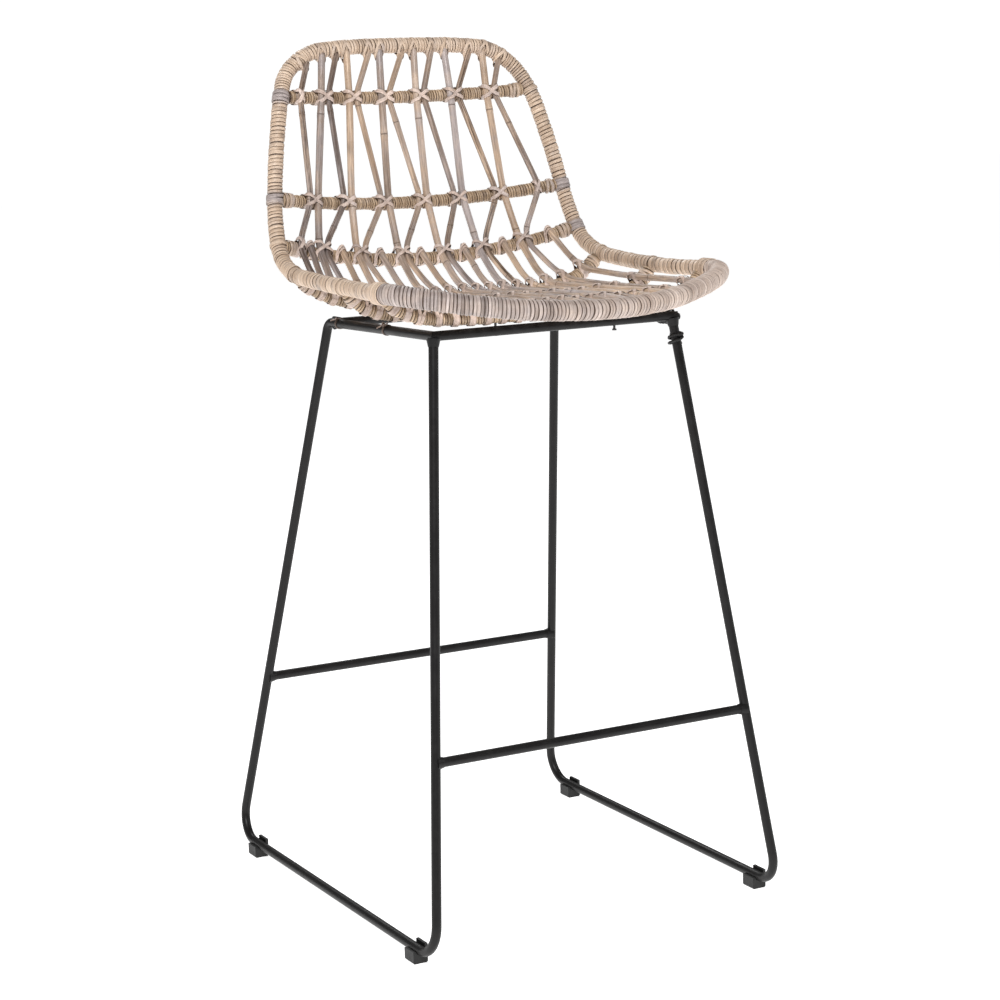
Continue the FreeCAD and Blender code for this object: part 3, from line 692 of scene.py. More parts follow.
def speckle_group():
    """Fine bumps and dust of a powder coat or a moulded surface."""
    group, given, result = new_group(
        "Coat Speckle", [("Scale", "NodeSocketFloat", 1400.0), ("Dust Scale", "NodeSocketFloat", 35.0)],
        [("Height", "NodeSocketFloat"), ("Dust", "NodeSocketFloat")])
    link = group.links.new
    place = node(group, "TexCoord")
    fine = node(group, "TexNoise", {"Detail": 2.0, "Roughness": .5})
    dust = node(group, "TexNoise", {"Detail": 6.0, "Roughness": .7})
    link(place.outputs["Object"], fine.inputs["Vector"])
    link(place.outputs["Object"], dust.inputs["Vector"])
    link(given.outputs["Scale"], fine.inputs["Scale"])
    link(given.outputs["Dust Scale"], dust.inputs["Scale"])
    patches = node(group, "MapRange", {"From Min": .45, "From Max": .75})
    link(dust.outputs["Fac"], patches.inputs["Value"])
    link(fine.outputs["Fac"], result.inputs["Height"])
    link(patches.outputs[0], result.inputs["Dust"])
    return group


# --- Materials ---------------------------------------------------------------------------------------
def new_material(name):
    material = bpy.data.materials.new(name)
    material.use_nodes = True
    tree = material.node_tree
    tree.nodes.clear()
    shader = node(tree, "BsdfPrincipled")
    output = node(tree, "OutputMaterial")
    tree.links.new(shader.outputs[0], output.inputs[0])
    return material, tree, shader


def rattan(name, deep, pale, grey_deep, grey_pale, dark, streak=900.0, bump=.45, roughness=(.52, .30)):
    """Rattan skin or cane: two warm tones and two greys, streaked along the fibre."""
    material, tree, shader = new_material(name)
    link = tree.links.new

    def read(attribute):
        return node(tree, "Attribute", attribute_name=attribute)

    grain = node(tree, "Group", node_tree=bpy.data.node_groups["Fibre Grain"])
    grain.inputs["Streak Scale"].default_value = streak
    link(read("grain").outputs["Vector"], grain.inputs["Vector"])
    wash = node(tree, "Group", node_tree=bpy.data.node_groups["Grey Wash and Painted Shade"])
    link(read("grey").outputs["Fac"], wash.inputs["Grey"])
    link(read("edge").outputs["Fac"], wash.inputs["Edge"])
    blend_tone = node(tree, "Math", {1: .55, 2: 0.0}, operation="MULTIPLY_ADD")
    link(grain.outputs["Streaks"], blend_tone.inputs[0])
    tone_scaled = node(tree, "Math", {1: .5}, operation="MULTIPLY")
    link(read("tone").outputs["Fac"], tone_scaled.inputs[0])
    link(tone_scaled.outputs[0], blend_tone.inputs[2])
    warm_fac, warm_a, warm_b, warm_out = mix(tree)
    grey_fac, grey_a, grey_b, grey_out = mix(tree)
    for socket, colour in ((warm_a, deep), (warm_b, pale), (grey_a, grey_deep), (grey_b, grey_pale)):
        socket.default_value = (*colour, 1)
    link(blend_tone.outputs[0], warm_fac)
    link(blend_tone.outputs[0], grey_fac)
    wash_fac, wash_a, wash_b, washed = mix(tree)
    link(wash.outputs["Wash"], wash_fac)
    link(warm_out, wash_a)
    link(grey_out, wash_b)
    pore_fac, pore_a, pore_b, pored = mix(tree, "MULTIPLY")
    pore_share = node(tree, "Math", {1: .35}, operation="MULTIPLY")
    link(grain.outputs["Pores"], pore_share.inputs[0])
    link(pore_share.outputs[0], pore_fac)
    link(washed, pore_a)
    pore_b.default_value = (.45, .36, .3, 1)
    # Painted shade and real marks share one dark colour here. The groove mask, and the dark attribute on
    # binding cores and on the turn round the steel, paint shade. Stains, dirt, streaks and cane joints are
    # real.
    dark_read = read("dark")
    dark_mask = node(tree, "Math", operation="MAXIMUM")
    groove_shade_share = node(tree, "Math", {1: .95}, operation="MULTIPLY")
    link(wash.outputs["Groove"], groove_shade_share.inputs[0])
    stained = node(tree, "Math", operation="MULTIPLY")
    link(grain.outputs["Stains"], stained.inputs[0])
    link(read("stain").outputs["Fac"], stained.inputs[1])
    worst = node(tree, "Math", operation="MAXIMUM")
    link(groove_shade_share.outputs[0], worst.inputs[0])
    link(stained.outputs[0], worst.inputs[1])
    link(worst.outputs[0], dark_mask.inputs[0])
    link(dark_read.outputs["Fac"], dark_mask.inputs[1])
    dark_fac, dark_a, dark_b, finished = mix(tree)
    link(dark_mask.outputs[0], dark_fac)
    link(pored, dark_a)
    dark_b.default_value = (*dark, 1)
    link(finished, shader.inputs["Base Color"])
    rough = node(tree, "MapRange", {"To Min": roughness[0], "To Max": roughness[1]})
    link(grain.outputs["Streaks"], rough.inputs["Value"])
    link(rough.outputs[0], shader.inputs["Roughness"])
    bumps = node(tree, "Bump", {"Strength": bump, "Distance": .0006})
    link(grain.outputs["Height"], bumps.inputs["Height"])
    link(bumps.outputs[0], shader.inputs["Normal"])
    shader.inputs["Specular IOR Level"].default_value = .55
    return material


def coated(name, colour, dust_colour, roughness, bump, dust=.12, scale=1400.0, shine=.4):
    """Powder coat, moulded plastic or cord: nearly one colour, with speckle and a little dust."""
    material, tree, shader = new_material(name)
    link = tree.links.new
    speckle = node(tree, "Group", node_tree=bpy.data.node_groups["Coat Speckle"])
    speckle.inputs["Scale"].default_value = scale
    share = node(tree, "Math", {1: dust}, operation="MULTIPLY")
    link(speckle.outputs["Dust"], share.inputs[0])
    fac, first, second, result = mix(tree)
    link(share.outputs[0], fac)
    first.default_value, second.default_value = (*colour, 1), (*dust_colour, 1)
    link(result, shader.inputs["Base Color"])
    rough = node(tree, "MapRange", {"To Min": roughness, "To Max": roughness + .15})
    link(speckle.outputs["Dust"], rough.inputs["Value"])
    link(rough.outputs[0], shader.inputs["Roughness"])
    shader.inputs["Specular IOR Level"].default_value = shine
    bumps = node(tree, "Bump", {"Strength": bump, "Distance": .0003})
    link(speckle.outputs["Height"], bumps.inputs["Height"])
    link(bumps.outputs[0], shader.inputs["Normal"])
    return material


def material(name):
    """A finish by name, made when it is first asked for."""
    title = name + "_finish"
    if title in bpy.data.materials:
        return bpy.data.materials[title]
    if "Fibre Grain" not in bpy.data.node_groups:
        fibre_group()
        wash_and_shade_group()
        speckle_group()
    c = bpy.context.scene.stool_colours
    greys = (tuple(c.grey_deep), tuple(c.grey_pale), tuple(c.shade_and_dirt))
    warm = {"hoop_binding": (c.hoop_deep, c.hoop_pale), "front_binding": (c.front_deep, c.front_pale),
            "rail_binding": (c.rail_deep, c.rail_pale), "lashing_strip": (c.lashing_deep, c.lashing_pale),
            "cane": (c.cane_deep, c.cane_pale)}
    if name in warm:
        deep, pale = warm[name]
        streak = 700.0 if name == "cane" else 1100.0
        return rattan(title, tuple(deep), tuple(pale), *greys, streak=streak)
    if name == "powder_coat":
        return coated(title, tuple(c.steel), (.06, .06, .06), .36, .12, shine=.22)
    if name == "glide_plastic":
        return coated(title, tuple(c.plastic), (.1, .1, .1), .5, .2, scale=2200.0)
    if name == "tie_cord":
        return coated(title, tuple(c.plastic), (.09, .09, .09), .55, .3, scale=2600.0)
    if name == "screw_steel":
        return coated(title, (.03, .03, .03), (.12, .12, .12), .35, .1)
    raise ValueError(f"no finish is named {name}")


# --- Settings ----------------------------------------------------------------------------------------
def length(name, description, default):
    return bpy.props.FloatProperty(name=name, description=description, default=default, min=.0001,
                                   subtype="DISTANCE", unit="LENGTH", precision=4)


def colour(name, description, default):
    return bpy.props.FloatVectorProperty(name=name, description=description, default=default, min=0, max=1,
                                         size=3, subtype="COLOR")


class StoolSizes(bpy.types.PropertyGroup):
    strip_width: length("Hoop binding width", "Width of the strip wound round the hoop", .0040)
    rail_strip_width: length("Rail binding width", "Width of the strip wound round the rails", .0032)
    front_strip_width: length("Front binding width", "Width of the strip wound round the front rod", .0041)
    strip_thickness: length("Binding thickness", "How far the strip stands off its rod", .0016)
    lashing_width: length("Lashing width", "Width of the strips that bind canes to rails", .0041)
    lashing_thickness: length("Lashing thickness", "Thickness of those strips", .0009)
    knot_spacing: length("Knot spacing", "Usual distance between the joints of a cane", .125)
    seed: bpy.props.IntProperty(name="Seed", description="Which random pattern the weave follows", default=7)


class StoolColours(bpy.types.PropertyGroup):
    hoop_deep: colour("Hoop, deep", "Darker tone of the hoop's binding", (.42, .285, .19))
    hoop_pale: colour("Hoop, pale", "Paler tone of the hoop's binding", (.90, .71, .55))
    front_deep: colour("Front rod, deep", "Darker tone of the front rod's binding", (.36, .255, .2))
    front_pale: colour("Front rod, pale", "Paler tone of the front rod's binding", (.86, .72, .63))
    rail_deep: colour("Rails, deep", "Darker tone of the rails' binding", (.25, .155, .085))
    rail_pale: colour("Rails, pale", "Paler tone of the rails' binding", (.80, .60, .41))
    lashing_deep: colour("Lashing, deep", "Darker tone of the lashing strip", (.46, .31, .235))
    lashing_pale: colour("Lashing, pale", "Paler tone of the lashing strip", (.92, .75, .65))
    cane_deep: colour("Cane, deep", "Darker tone of the warm canes", (.18, .10, .06))
    cane_pale: colour("Cane, pale", "Paler tone of the warm canes", (.92, .69, .50))
    grey_deep: colour("Grey wash, deep", "Darker tone of the grey wash", (.12, .092, .08))
    grey_pale: colour("Grey wash, pale", "Paler tone of the grey wash", (.66, .57, .55))
    # Dark colour for painted shade in the grooves, at strip edges and on the cores under bindings, and for
    # real dirt, stains and cane joints.
    shade_and_dirt: colour("Grooves", "Dirt between the turns of binding", (.06, .03, .016))
    steel: colour("Steel", "Powder coat of the frame", (.0095, .0088, .009))
    plastic: colour("Plastic", "Glides and ties", (.008, .008, .008))


def random_for(name):
    """A random stream of its own for each piece, so that one piece doesn't change another."""
    seed = sum((k + 1) * ord(letter) for k, letter in enumerate(name)) + bpy.context.scene.stool_sizes.seed
    return np.random.default_rng(seed)


def grey_bands(places, width=.007):
    """A mask along a rod: grey where a rail meets it."""
    def mask(s):
        value = np.zeros_like(s)
        for at, strength in places:
            value = np.maximum(value, strength * np.clip(1.6 - np.abs(s - at) / width, 0, 1))
        return value
    return mask


def nearest_along(path, point):
    return path.at[np.argmin(np.linalg.norm(path.points - np.array(point), axis=1))]


# --- Operators ---------------------------------------------------------------------------------------
class STOOL_OT_bind_rim(bpy.types.Operator):
    """Wind the binding of the back hoop and the front rod"""
    bl_idname = "stool.bind_rim"
    bl_label = "Bind Hoop and Front Rod"

    def execute(self, context):
        sizes = context.scene.stool_sizes
        self.hoop(sizes)
        self.front(sizes)
        pieces, rng = Pieces(), random_for("splices")
        for end, inner in ((FRONT_CORNERS[0], FRONT_CORNERS[1]), (FRONT_CORNERS[-1], FRONT_CORNERS[-2])):
            along = (inner - end).normalized()
            sleeve = Path([end + along * (.001 * k - .009) for k in range(19)])
            wind(pieces, sleeve, FRONT_R + .0009, sizes.strip_thickness, rng, sizes.front_strip_width,
                 rough=.5)
        pieces.mesh("rim_splices_bound", material("hoop_binding"), ["rim_splices"], "front_binding")
        return {"FINISHED"}

    def hoop(self, sizes):
        """The binding is close over the back and spread along the sides of the seat."""
        path = Path(HOOP_LINE)
        joints = [(nearest_along(path, (side * RAILS[name][0][0], *RAILS[name][0][1:])), strength)
                  for (name, side), strength in GREY_JOINTS.items()]

        def spread(s):
            _, y, z = path.place(np.array([s]), np.zeros(1), np.zeros(1))[0]
            seat = np.clip((.748 - z) / .01, 0, 1) * np.clip((.11 - y) / .04, 0, 1)
            side = np.clip((.93 - z) / .03, 0, 1)
            return .92 + .23 * side + .75 * seat

        pieces = Pieces()
        wind(pieces, path, HOOP_R - .0009, sizes.strip_thickness, random_for("hoop"), sizes.strip_width,
             grey=grey_bands(joints), gaps=.105, spread=spread)
        pieces.mesh("back_hoop_bound", material("hoop_binding"), ["back_hoop"], "hoop_binding")

    def front(self, sizes):
        """The front rod's turns bow out and lean on its right half, and are greyer on its left."""
        path = Path(FRONT_LINE)

        def to_left(s):
            return np.clip((s / path.length - .30) * 2.2, 0, 1)

        def slip_by(s, angle):
            right = 1 - to_left(s)
            return FRONT_R * ((.10 + .26 * right) * np.sin(angle) - .26 * right * np.cos(angle))

        pieces = Pieces()
        wind(pieces, path, FRONT_R - .0002, sizes.strip_thickness, random_for("front"),
             sizes.front_strip_width, grey=lambda s: .05 + .65 * to_left(s), gaps=.12, slip_by=slip_by)
        pieces.mesh("front_rim_bound", material("front_binding"), ["front_rim"], "front_binding")


class STOOL_OT_bind_rails(bpy.types.Operator):
    """Wind the binding of the rods across the back and under the seat"""
    bl_idname = "stool.bind_rails"
    bl_label = "Bind Rails"

    def execute(self, context):
        sizes = context.scene.stool_sizes
        for name, corners in RAIL_CORNERS.items():
            corners = list(corners)
            for end, inner in ((0, 1), (-1, -2)):
                corners[end] = corners[end] + (corners[end] - corners[inner]).normalized() * RAIL_BITE
            path = Path(route(corners, step=.0015))
            pieces = Pieces()
            wind(pieces, path, RAIL_R - .0001, sizes.strip_thickness, random_for(name),
                 sizes.rail_strip_width, gaps=.14, stain=.3)
            pieces.mesh(name + "_bound", material("rail_binding"), [name], "rail_binding")
        return {"FINISHED"}


class STOOL_OT_lay_canes(bpy.types.Operator):
    """Lay the straight, zigzag and short canes, with their joints and streaks"""
    bl_idname = "stool.lay_canes"
    bl_label = "Lay Canes"

    def execute(self, context):
        for name, (points, radius, look) in CANES.items():
            rng = random_for(name)
            shares = CANE_SHARES[-(len(points) - 2):]
            corners = corners_through(points, shares)
            hooked = name.startswith("short")
            for end, inner, more in ((0, 1, -HEAD_TRIM if hooked else HOOP_BITE), (-1, -2, RIM_BITE)):
                corners[end] = corners[end] + (corners[end] - corners[inner]).normalized() * more
            self.cane(name, Path(route(corners, shares=shares), (1, 0, 0)), radius, look, hooked, rng)
        return {"FINISHED"}

    def cane(self, name, path, radius, look, hooked, rng):
        """One cane: slightly uneven, thicker at its joints, each joint a low ridge with a dark line."""
        greys, pale, stain = look
        knots, at = [], rng.uniform(.3, .9) * bpy.context.scene.stool_sizes.knot_spacing
        while at < path.length:
            knots.append(at)
            at += bpy.context.scene.stool_sizes.knot_spacing * rng.uniform(.7, 1.35)
        fine = [k + d for k in knots for d in (-.004, -.002, -.0012, -.0006, 0, .0006, .0012, .002, .004)]
        stations = np.array(sorted(list(np.arange(0, path.length, .004)) + [path.length]
                                   + [f for f in fine if 0 < f < path.length]))
        stations = stations[np.concatenate([[True], np.diff(stations) > 2e-4])]
        radii = radius * (.94 + .04 * smooth_noise(stations, .05, rng))
        dark = np.maximum(0, smooth_noise(stations, .03, rng) - .60) * .9
        for k in knots:
            near = np.abs(stations - k)
            radii = radii + radius * (.10 * np.exp(-(near / .0035) ** 2) - .12 * np.exp(-(near / .0005) ** 2))
            dark = np.maximum(dark, .85 * np.exp(-(near / .0008) ** 2))
        if hooked:
            near_head = np.clip(stations / radius + .15, 0, 1)
            radii = radii * np.sqrt(near_head * (2 - near_head))
            dark = np.maximum(dark, .75 * np.exp(-(stations / .004) ** 2))
        grey = np.interp(stations, np.linspace(0, path.length, len(greys)), greys)
        grey = np.clip(grey + .3 * smooth_noise(stations, .06, rng), 0, 1)
        tone = pale + .28 * smooth_noise(stations, .08, rng) + .12 * smooth_noise(stations, .02, rng)
        around = 16
        angle = np.arange(around) * math.tau / around
        facet = radius * .03 * np.cos(3 * angle + rng.uniform(0, 6))[None, :]
        dark = np.maximum(dark[:, None], self.streak(stations, angle, stain, rng))
        pieces = Pieces()
        tube(pieces, path, stations, radii, around, grey=grey, dark=dark, tone=tone, dent=facet, stain=stain)
        kind = name.split("_")[0]
        slot = {"straight": "cane_honey", "zigzag": "cane_lilac", "short": "cane_grey"}[kind]
        pieces.mesh(name + "_peeled", material("cane"), [name], slot)


    def streak(self, stations, angle, stain, rng):
        """Dark streaks that wander down a cane and fade in and out."""
        marks = np.zeros((len(stations), len(angle)))
        for start in (1.3, 2.4, 4.4):
            middle = start + .7 * smooth_noise(stations, .09, rng)
            strength = np.clip(.55 + 1.3 * smooth_noise(stations, .05, rng), 0, 1)
            strength = strength * (.8 + .2 * smooth_noise(stations, .008, rng))
            away = np.angle(np.exp(1j * (angle[None, :] - middle[:, None])))
            marks = np.maximum(marks, strength[:, None] * np.exp(-(away / .42) ** 2))
        return marks * min(1.25 * stain, .95)


def crossing(name, x):
    """Rail axis at x, along-the-rail, down-the-cane and outward directions."""
    order = RAIL_ORDER.index(name)
    axis, along = at_x(RAIL_LINES[name], x)
    before = at_x(RAIL_LINES[RAIL_ORDER[max(order - 1, 0)]], x)[0]
    after = at_x(RAIL_LINES[RAIL_ORDER[min(order + 1, 5)]], x)[0]
    out = outward(along, before, after)
    return axis, along, along.cross(out).normalized(), out


class STOOL_OT_lash_back(bpy.types.Operator):
    """Cross the lashings where canes meet the rails of the back"""
    bl_idname = "stool.lash_back"
    bl_label = "Lash Canes to Back"

    def execute(self, context):
        sizes = context.scene.stool_sizes
        for name, pairs, single in (("upper_back_rail", UPPER_PAIR_X, UPPER_FIRST_X),
                                    ("middle_back_rail", MIDDLE_PAIR_X, MIDDLE_LAST_X),
                                    ("lower_back_rail", LOWER_PAIR_X, LOWER_FIRST_X)):
            rng, pieces = random_for(name + "lashing"), Pieces()
            for x, held, centre in [(x, STRAIGHT_R, PAIR_GAP / 2) for x in pairs] + [(single, ZIGZAG_R, 0)]:
                lash(pieces, crossing(name, x), RAIL_R, held, centre, sizes.lashing_width,
                     sizes.lashing_thickness, rng, grey=.3, tone=.7)
            target = name.replace("back_rail", "lashings")
            pieces.mesh(target + "_tied", material("lashing_strip"), [target], "lashing_strip")
        return {"FINISHED"}


class STOOL_OT_hook_short_canes(bpy.types.Operator):
    """Bind the heads of the short canes over the lower rail"""
    bl_idname = "stool.hook_short_canes"
    bl_label = "Hook Short Canes"

    def execute(self, context):
        sizes = context.scene.stool_sizes
        rng, pieces = random_for("hooks"), Pieces()
        for x in SHORT_X:
            for apex, foot, tone in HOOK_STRIPS:
                knots = arch(RAIL_R + .0002, SHORT_R, RAIL_R + SHORT_R + CLEAR, apex * RAIL_R, foot * RAIL_R)
                tie_knots(pieces, crossing("lower_back_rail", x), knots, sizes.lashing_width * .78,
                          sizes.lashing_thickness, rng, grey=.15, tone=tone)
        pieces.mesh("short_cane_hooks_tied", material("lashing_strip"), ["short_cane_hooks"], "lashing_strip")
        return {"FINISHED"}


class STOOL_OT_lash_seat(bpy.types.Operator):
    """Bind every cane to the rods under the seat, and the rods to the steel"""
    bl_idname = "stool.lash_seat"
    bl_label = "Lash Canes to Seat"

    def execute(self, context):
        sizes = context.scene.stool_sizes
        for name, spread in zip(RAIL_ORDER[3:], SEAT_SPREAD):
            rng, pieces = random_for(name + "lashing"), Pieces()
            for k, x in enumerate(SEAT_X):
                lash(pieces, crossing(name, x * spread), RAIL_R, (ZIGZAG_R, SHORT_R, STRAIGHT_R)[k % 3], 0,
                     sizes.lashing_width, sizes.lashing_thickness * .8, rng, grey=.15, tone=.55,
                     dark=rng.uniform(0, .2))
            target = name.replace("rail", "lashings")
            pieces.mesh(target + "_tied", material("lashing_strip"), [target], "lashing_strip")
        self.tie_to_steel(sizes)
        return {"FINISHED"}

    def tie_to_steel(self, sizes):
        """A turn of strip round each steel side rail where a seat rod passes over it, with frayed ends."""
        rng, pieces = random_for("steel"), Pieces()
        for name in ("rear_seat_rail", "middle_seat_rail"):
            for side in (-1, 1):
                rod_axis = at_x(RAIL_LINES[name], side * TOP_HALF)[0]
                rear, front = Vector((side * TOP_HALF, *REAR_TOP)), Vector((side * TOP_HALF, *FRONT_TOP))
                along = (front - rear).normalized()
                middle = rear + along * ((rod_axis.y - TIE_SHIFT - rear.y) / along.y)
                bar = Path([middle + along * (.001 * (k - 7)) for k in range(15)])
                # This turn round the steel is coloured almost wholly dark. It is painted shade under the seat
                # rod, and partly a stained strip.
                ring(pieces, bar, bar.length / 2, BAR_R + .0001, .0034, sizes.lashing_thickness, rng,
                     slope=.3, grey=.2, tone=.2, dark=.93)
                for _ in range(9 if name.startswith("middle") else 2):
                    start = middle + along * rng.uniform(-.005, .005) + Vector((side * .003, 0, .0055))
                    heading = Vector((side * rng.uniform(.2, 1), rng.uniform(-1, 1), rng.uniform(-.2, .9)))
                    tail(pieces, start, heading, (side, 0, 1), rng.uniform(.005, .009), .0028,
                         sizes.lashing_thickness * .7, rng)
        pieces.mesh("frame_lashings_tied", material("lashing_strip"), ["frame_lashings"], "lashing_strip")


class STOOL_OT_cap_canes(bpy.types.Operator):
    """Wrap the tops of the canes into the hoop and ring the ends of the rails"""
    bl_idname = "stool.cap_canes"
    bl_label = "Cap Canes and Rail Ends"

    def execute(self, context):
        sizes = context.scene.stool_sizes
        rng, pieces = random_for("caps"), Pieces()
        for name, (points, radius, _) in CANES.items():
            if not name.startswith("short"):
                self.fork(pieces, points, radius, sizes, rng)
        pieces.mesh("cane_caps", material("hoop_binding"), [], "hoop_binding")
        pieces = Pieces()
        hoop = Path(HOOP_LINE)
        for name, line in RAIL_LINES.items():
            if name != "front_seat_rail":
                self.joint(pieces, name, Path(line), hoop, rng)
        pieces.mesh("rail_end_rings", material("hoop_binding"), [], "hoop_binding")
        return {"FINISHED"}

    def fork(self, pieces, points, radius, sizes, rng):
        """Two strips from the hoop that part in front of a cane and close behind it."""
        down = (points[1] - points[0]).normalized()
        near = min(range(1, len(HOOP_LINE) - 1), key=lambda k: (HOOP_LINE[k] - points[0]).length)
        along = (HOOP_LINE[near + 1] - HOOP_LINE[near - 1]).normalized()
        down = (down - along * down.dot(along)).normalized()
        out = along.cross(down).normalized()
        out = -out if out.y > 0 else out
        rod, beside = HOOP_R - .0006, radius + .0003
        for hand, low in ((1, rod + rng.uniform(.003, .005)), (-1, rod + rng.uniform(.003, .005))):
            knots = [(.25 * radius, -.75 * rod, .4 * rod, 0, -.8, .6),
                     (.1 * radius, -.5 * rod, .78 * rod, 0, -.5, .85),
                     (-.4 * radius, 0, rod, 0, 0, 1), (-beside, .62 * rod, .8 * rod, -.2, .5, .8),
                     (-beside, rod + .0006, radius * .8, -.8, .1, .6),
                     (-beside * .8, low, -radius * .3, -1, 0, -.2), (0, low + .001, -beside, 0, 0, -1),
                     (beside * .8, low - .002, -radius * .3, 1, 0, -.4),
                     (beside * .6, .75 * rod, -.66 * rod, 0, .7, -.7), (.4 * radius, 0, -.9 * rod, 0, 0, -1),
                     (.3 * radius, -.5 * rod, -.5 * rod, 0, -.7, -.7)]
            knots = [(hand * a, b, c, hand * d, e, f) for a, b, c, d, e, f in knots]
            tie_knots(pieces, (HOOP_LINE[near], along, down, out), knots, sizes.strip_width * .9, .0009, rng,
                      grey=.1, tone=.55)

    def joint(self, pieces, name, path, hoop, rng):
        """Rings on each end of a rail, and strips over the hoop where it meets it."""
        for side, s in ((-1, 0), (1, path.length)):
            inward, grey = -side, GREY_JOINTS.get((name, side), 0)
            for k in range(2 + (rng.random() < .5)):
                ring(pieces, path, s + inward * (.003 + RING_STEP * k), RAIL_R - .0003 + .0005 * (k < 2),
                     RING_WIDTH, RING_THICK, rng, slope=rng.uniform(-.25, .25), grey=.2 + .25 * grey, tone=.4)
            end = RAILS[name][0]
            at = nearest_along(hoop, (side * end[0], end[1], end[2]))
            for k in (-1, 0, 1) if grey else (0,):
                ring(pieces, hoop, at + k * .0041, HOOP_R - .0012, .0040, .0011, rng,
                     slope=rng.uniform(-.15, .15), grey=grey, tone=.55)


class STOOL_OT_finish_frame(bpy.types.Operator):
    """Coat the steel frame, its welds, glides, ties and screws"""
    bl_idname = "stool.finish_frame"
    bl_label = "Finish Steel Frame"

    def execute(self, context):
        for entry in frame["record"]["subparts"]:
            if entry["material_slot"] in ("powder_coat", "glide_plastic", "screw_steel"):
                data = frame["nodes"][entry["node"]].data
                data.materials.clear()
                data.materials.append(material(entry["material_slot"]))
        share = (FRONT_TOP[1] - LEG_TIE_Z) / (FRONT_TOP[1] - RUNNER_Z)
        corner = Vector((TOP_HALF, *FRONT_TOP))
        foot = Vector((BASE_HALF, FRONT_BASE_Y, RUNNER_Z))
        self.cord("leg_tie", corner.lerp(foot, share), foot - corner, (-1, .55), 2)
        rear = Vector((TOP_HALF, *REAR_TOP))
        share = (CORNER_TIE_Y - FRONT_TOP[0]) / (REAR_TOP[0] - FRONT_TOP[0])
        self.cord("corner_tie", corner.lerp(rear, share * .75), rear - corner, (.2, 1), 4)
        return {"FINISHED"}

    def cord(self, name, centre, axis, knot_angles, turns):
        """Uneven turns of cord round a bar, with a knot at each end of them."""
        rng, pieces = random_for(name), Pieces()
        bar = Path([centre + axis.normalized() * (.002 * k) for k in range(-8, 9)], (1, 0, 0))
        angle = np.linspace(0, math.tau * turns, 26 * turns)
        s = (bar.length / 2 + (angle / angle[-1] - .5) * .0052 * turns
             + .0012 * smooth_noise(angle, 1.9, rng))
        radius = BAR_R + CORD_R + .0004 + .0009 * (1 + smooth_noise(angle, 1.1, rng))
        lines = [bar.place(s, angle + knot_angles[0], radius)]
        for k, (turn, at) in enumerate(((0, s[0]), (-1, s[-1]))):
            t = np.linspace(0, math.tau * 1.2, 30)
            swing = angle[turn] + knot_angles[0] + (.42 * np.sin(t) + .16) * (1 if k else -1)
            radius = BAR_R + CORD_R * 2.2 + .0016 * np.cos(1.7 * t)
            lines.append(bar.place(at + .0030 * np.cos(t), swing, radius))
        for line in lines:
            path = Path([Vector(p) for p in line], (.3, .2, 1))
            stations = np.linspace(0, path.length, 3 * len(line))
            ends = np.minimum(stations, path.length - stations) / CORD_R
            radii = CORD_R * np.clip(.55 + ends, 0, 1) * (1 + .10 * np.sin(stations / .0008))
            tube(pieces, path, stations, radii, 10)
        pieces.mesh(name + "_cord", material("tie_cord"), [name], "tie_cord")


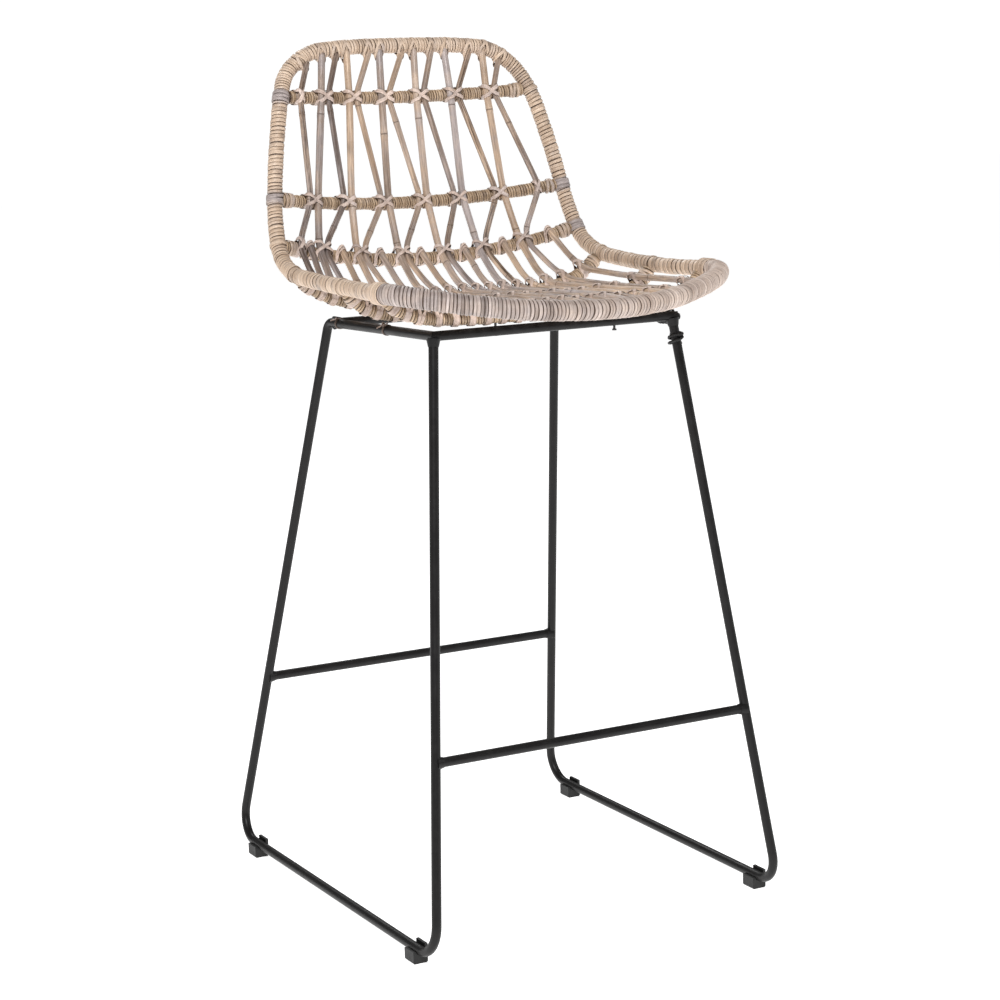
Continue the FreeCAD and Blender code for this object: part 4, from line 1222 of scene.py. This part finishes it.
class STOOL_OT_set_stage(bpy.types.Operator):
    """Lay the floor, hang the lamps and set the camera"""
    bl_idname = "stool.set_stage"
    bl_label = "Set Stage"

    def execute(self, context):
        self.floor()
        self.lamps()
        self.camera()
        return {"FINISHED"}

    def floor(self):
        data = bpy.data.meshes.new("studio_floor")
        corners = [(x * FLOOR_HALF, y * FLOOR_HALF, 0) for x, y in ((-1, -1), (1, -1), (1, 1), (-1, 1))]
        data.from_pydata(corners, [], [(0, 1, 2, 3)])
        floor = bpy.data.objects.new("studio_floor", data)
        bpy.context.scene.collection.objects.link(floor)
        finish, _, shader = new_material("pale_floor")
        shader.inputs["Base Color"].default_value = (.93, .93, .93, 1)
        shader.inputs["Roughness"].default_value = .8
        shader.inputs["Emission Color"].default_value = (1, 1, 1, 1)
        shader.inputs["Emission Strength"].default_value = FLOOR_GLOW
        data.materials.append(finish)

    def lamps(self):
        world = bpy.data.worlds.new("studio")
        world.use_nodes = True
        background = world.node_tree.nodes["Background"]
        background.inputs["Color"].default_value = (1, 1, 1, 1)
        seen = world.node_tree.nodes.new("ShaderNodeLightPath")
        strength = world.node_tree.nodes.new("ShaderNodeMapRange")
        strength.inputs["To Min"].default_value = WALL_LIGHT
        strength.inputs["To Max"].default_value = WALL_SEEN
        world.node_tree.links.new(seen.outputs["Is Camera Ray"], strength.inputs["Value"])
        world.node_tree.links.new(strength.outputs[0], background.inputs["Strength"])
        bpy.context.scene.world = world
        for name, (place, size, power) in LAMPS.items():
            data = bpy.data.lights.new(name, "AREA")
            data.size, data.energy = size, power
            lamp = bpy.data.objects.new(name, data)
            lamp.location = place
            aim = Vector(LAMP_TARGET) - Vector(place)
            lamp.rotation_euler = aim.to_track_quat("-Z", "Y").to_euler()
            bpy.context.scene.collection.objects.link(lamp)
        bpy.context.scene.view_settings.view_transform = "Standard"

    def camera(self):
        a, e, roll = CAMERA_AZIMUTH, CAMERA_ELEVATION, CAMERA_ROLL
        back = Vector((math.sin(a) * math.cos(e), -math.cos(a) * math.cos(e), math.sin(e)))
        right = (-back).cross(Vector((0, 0, 1))).normalized()
        up = right.cross(-back)
        right, up = (right * math.cos(roll) + up * math.sin(roll),
                     up * math.cos(roll) - right * math.sin(roll))
        data = bpy.data.cameras.new("camera")
        data.lens, data.sensor_width = CAMERA_LENS, 36
        camera = bpy.data.objects.new("camera", data)
        place = Vector(CAMERA_TARGET) + back * CAMERA_DISTANCE
        camera.matrix_world = Matrix.Translation(place) @ Matrix((right, up, back)).transposed().to_4x4()
        bpy.context.scene.collection.objects.link(camera)
        bpy.context.scene.camera = camera


OPERATORS = (STOOL_OT_bind_rim, STOOL_OT_bind_rails, STOOL_OT_cap_canes, STOOL_OT_lay_canes,
             STOOL_OT_lash_back, STOOL_OT_hook_short_canes, STOOL_OT_lash_seat, STOOL_OT_finish_frame,
             STOOL_OT_set_stage)


class STOOL_PT_panel(bpy.types.Panel):
    """Lists the steps that build the stool"""
    bl_idname = "STOOL_PT_panel"
    bl_label = "Rattan Bar Stool"
    bl_space_type = "VIEW_3D"
    bl_region_type = "UI"
    bl_category = "Stool"

    def draw(self, context):
        for group in (context.scene.stool_sizes, context.scene.stool_colours):
            for name in group.bl_rna.properties.keys():
                if name not in ("rna_type", "name"):
                    self.layout.prop(group, name)
        for operator in OPERATORS:
            self.layout.operator(operator.bl_idname)


CLASSES = (StoolSizes, StoolColours, *OPERATORS, STOOL_PT_panel)


def register():
    for each in CLASSES:
        bpy.utils.register_class(each)
    bpy.types.Scene.stool_sizes = bpy.props.PointerProperty(type=StoolSizes)
    bpy.types.Scene.stool_colours = bpy.props.PointerProperty(type=StoolColours)


def unregister():
    del bpy.types.Scene.stool_sizes, bpy.types.Scene.stool_colours
    for each in reversed(CLASSES):
        bpy.utils.unregister_class(each)


def main():
    register()
    for operator in OPERATORS:
        group, name = operator.bl_idname.split(".")
        getattr(getattr(bpy.ops, group), name)()


if __name__ == "__main__":
    main()
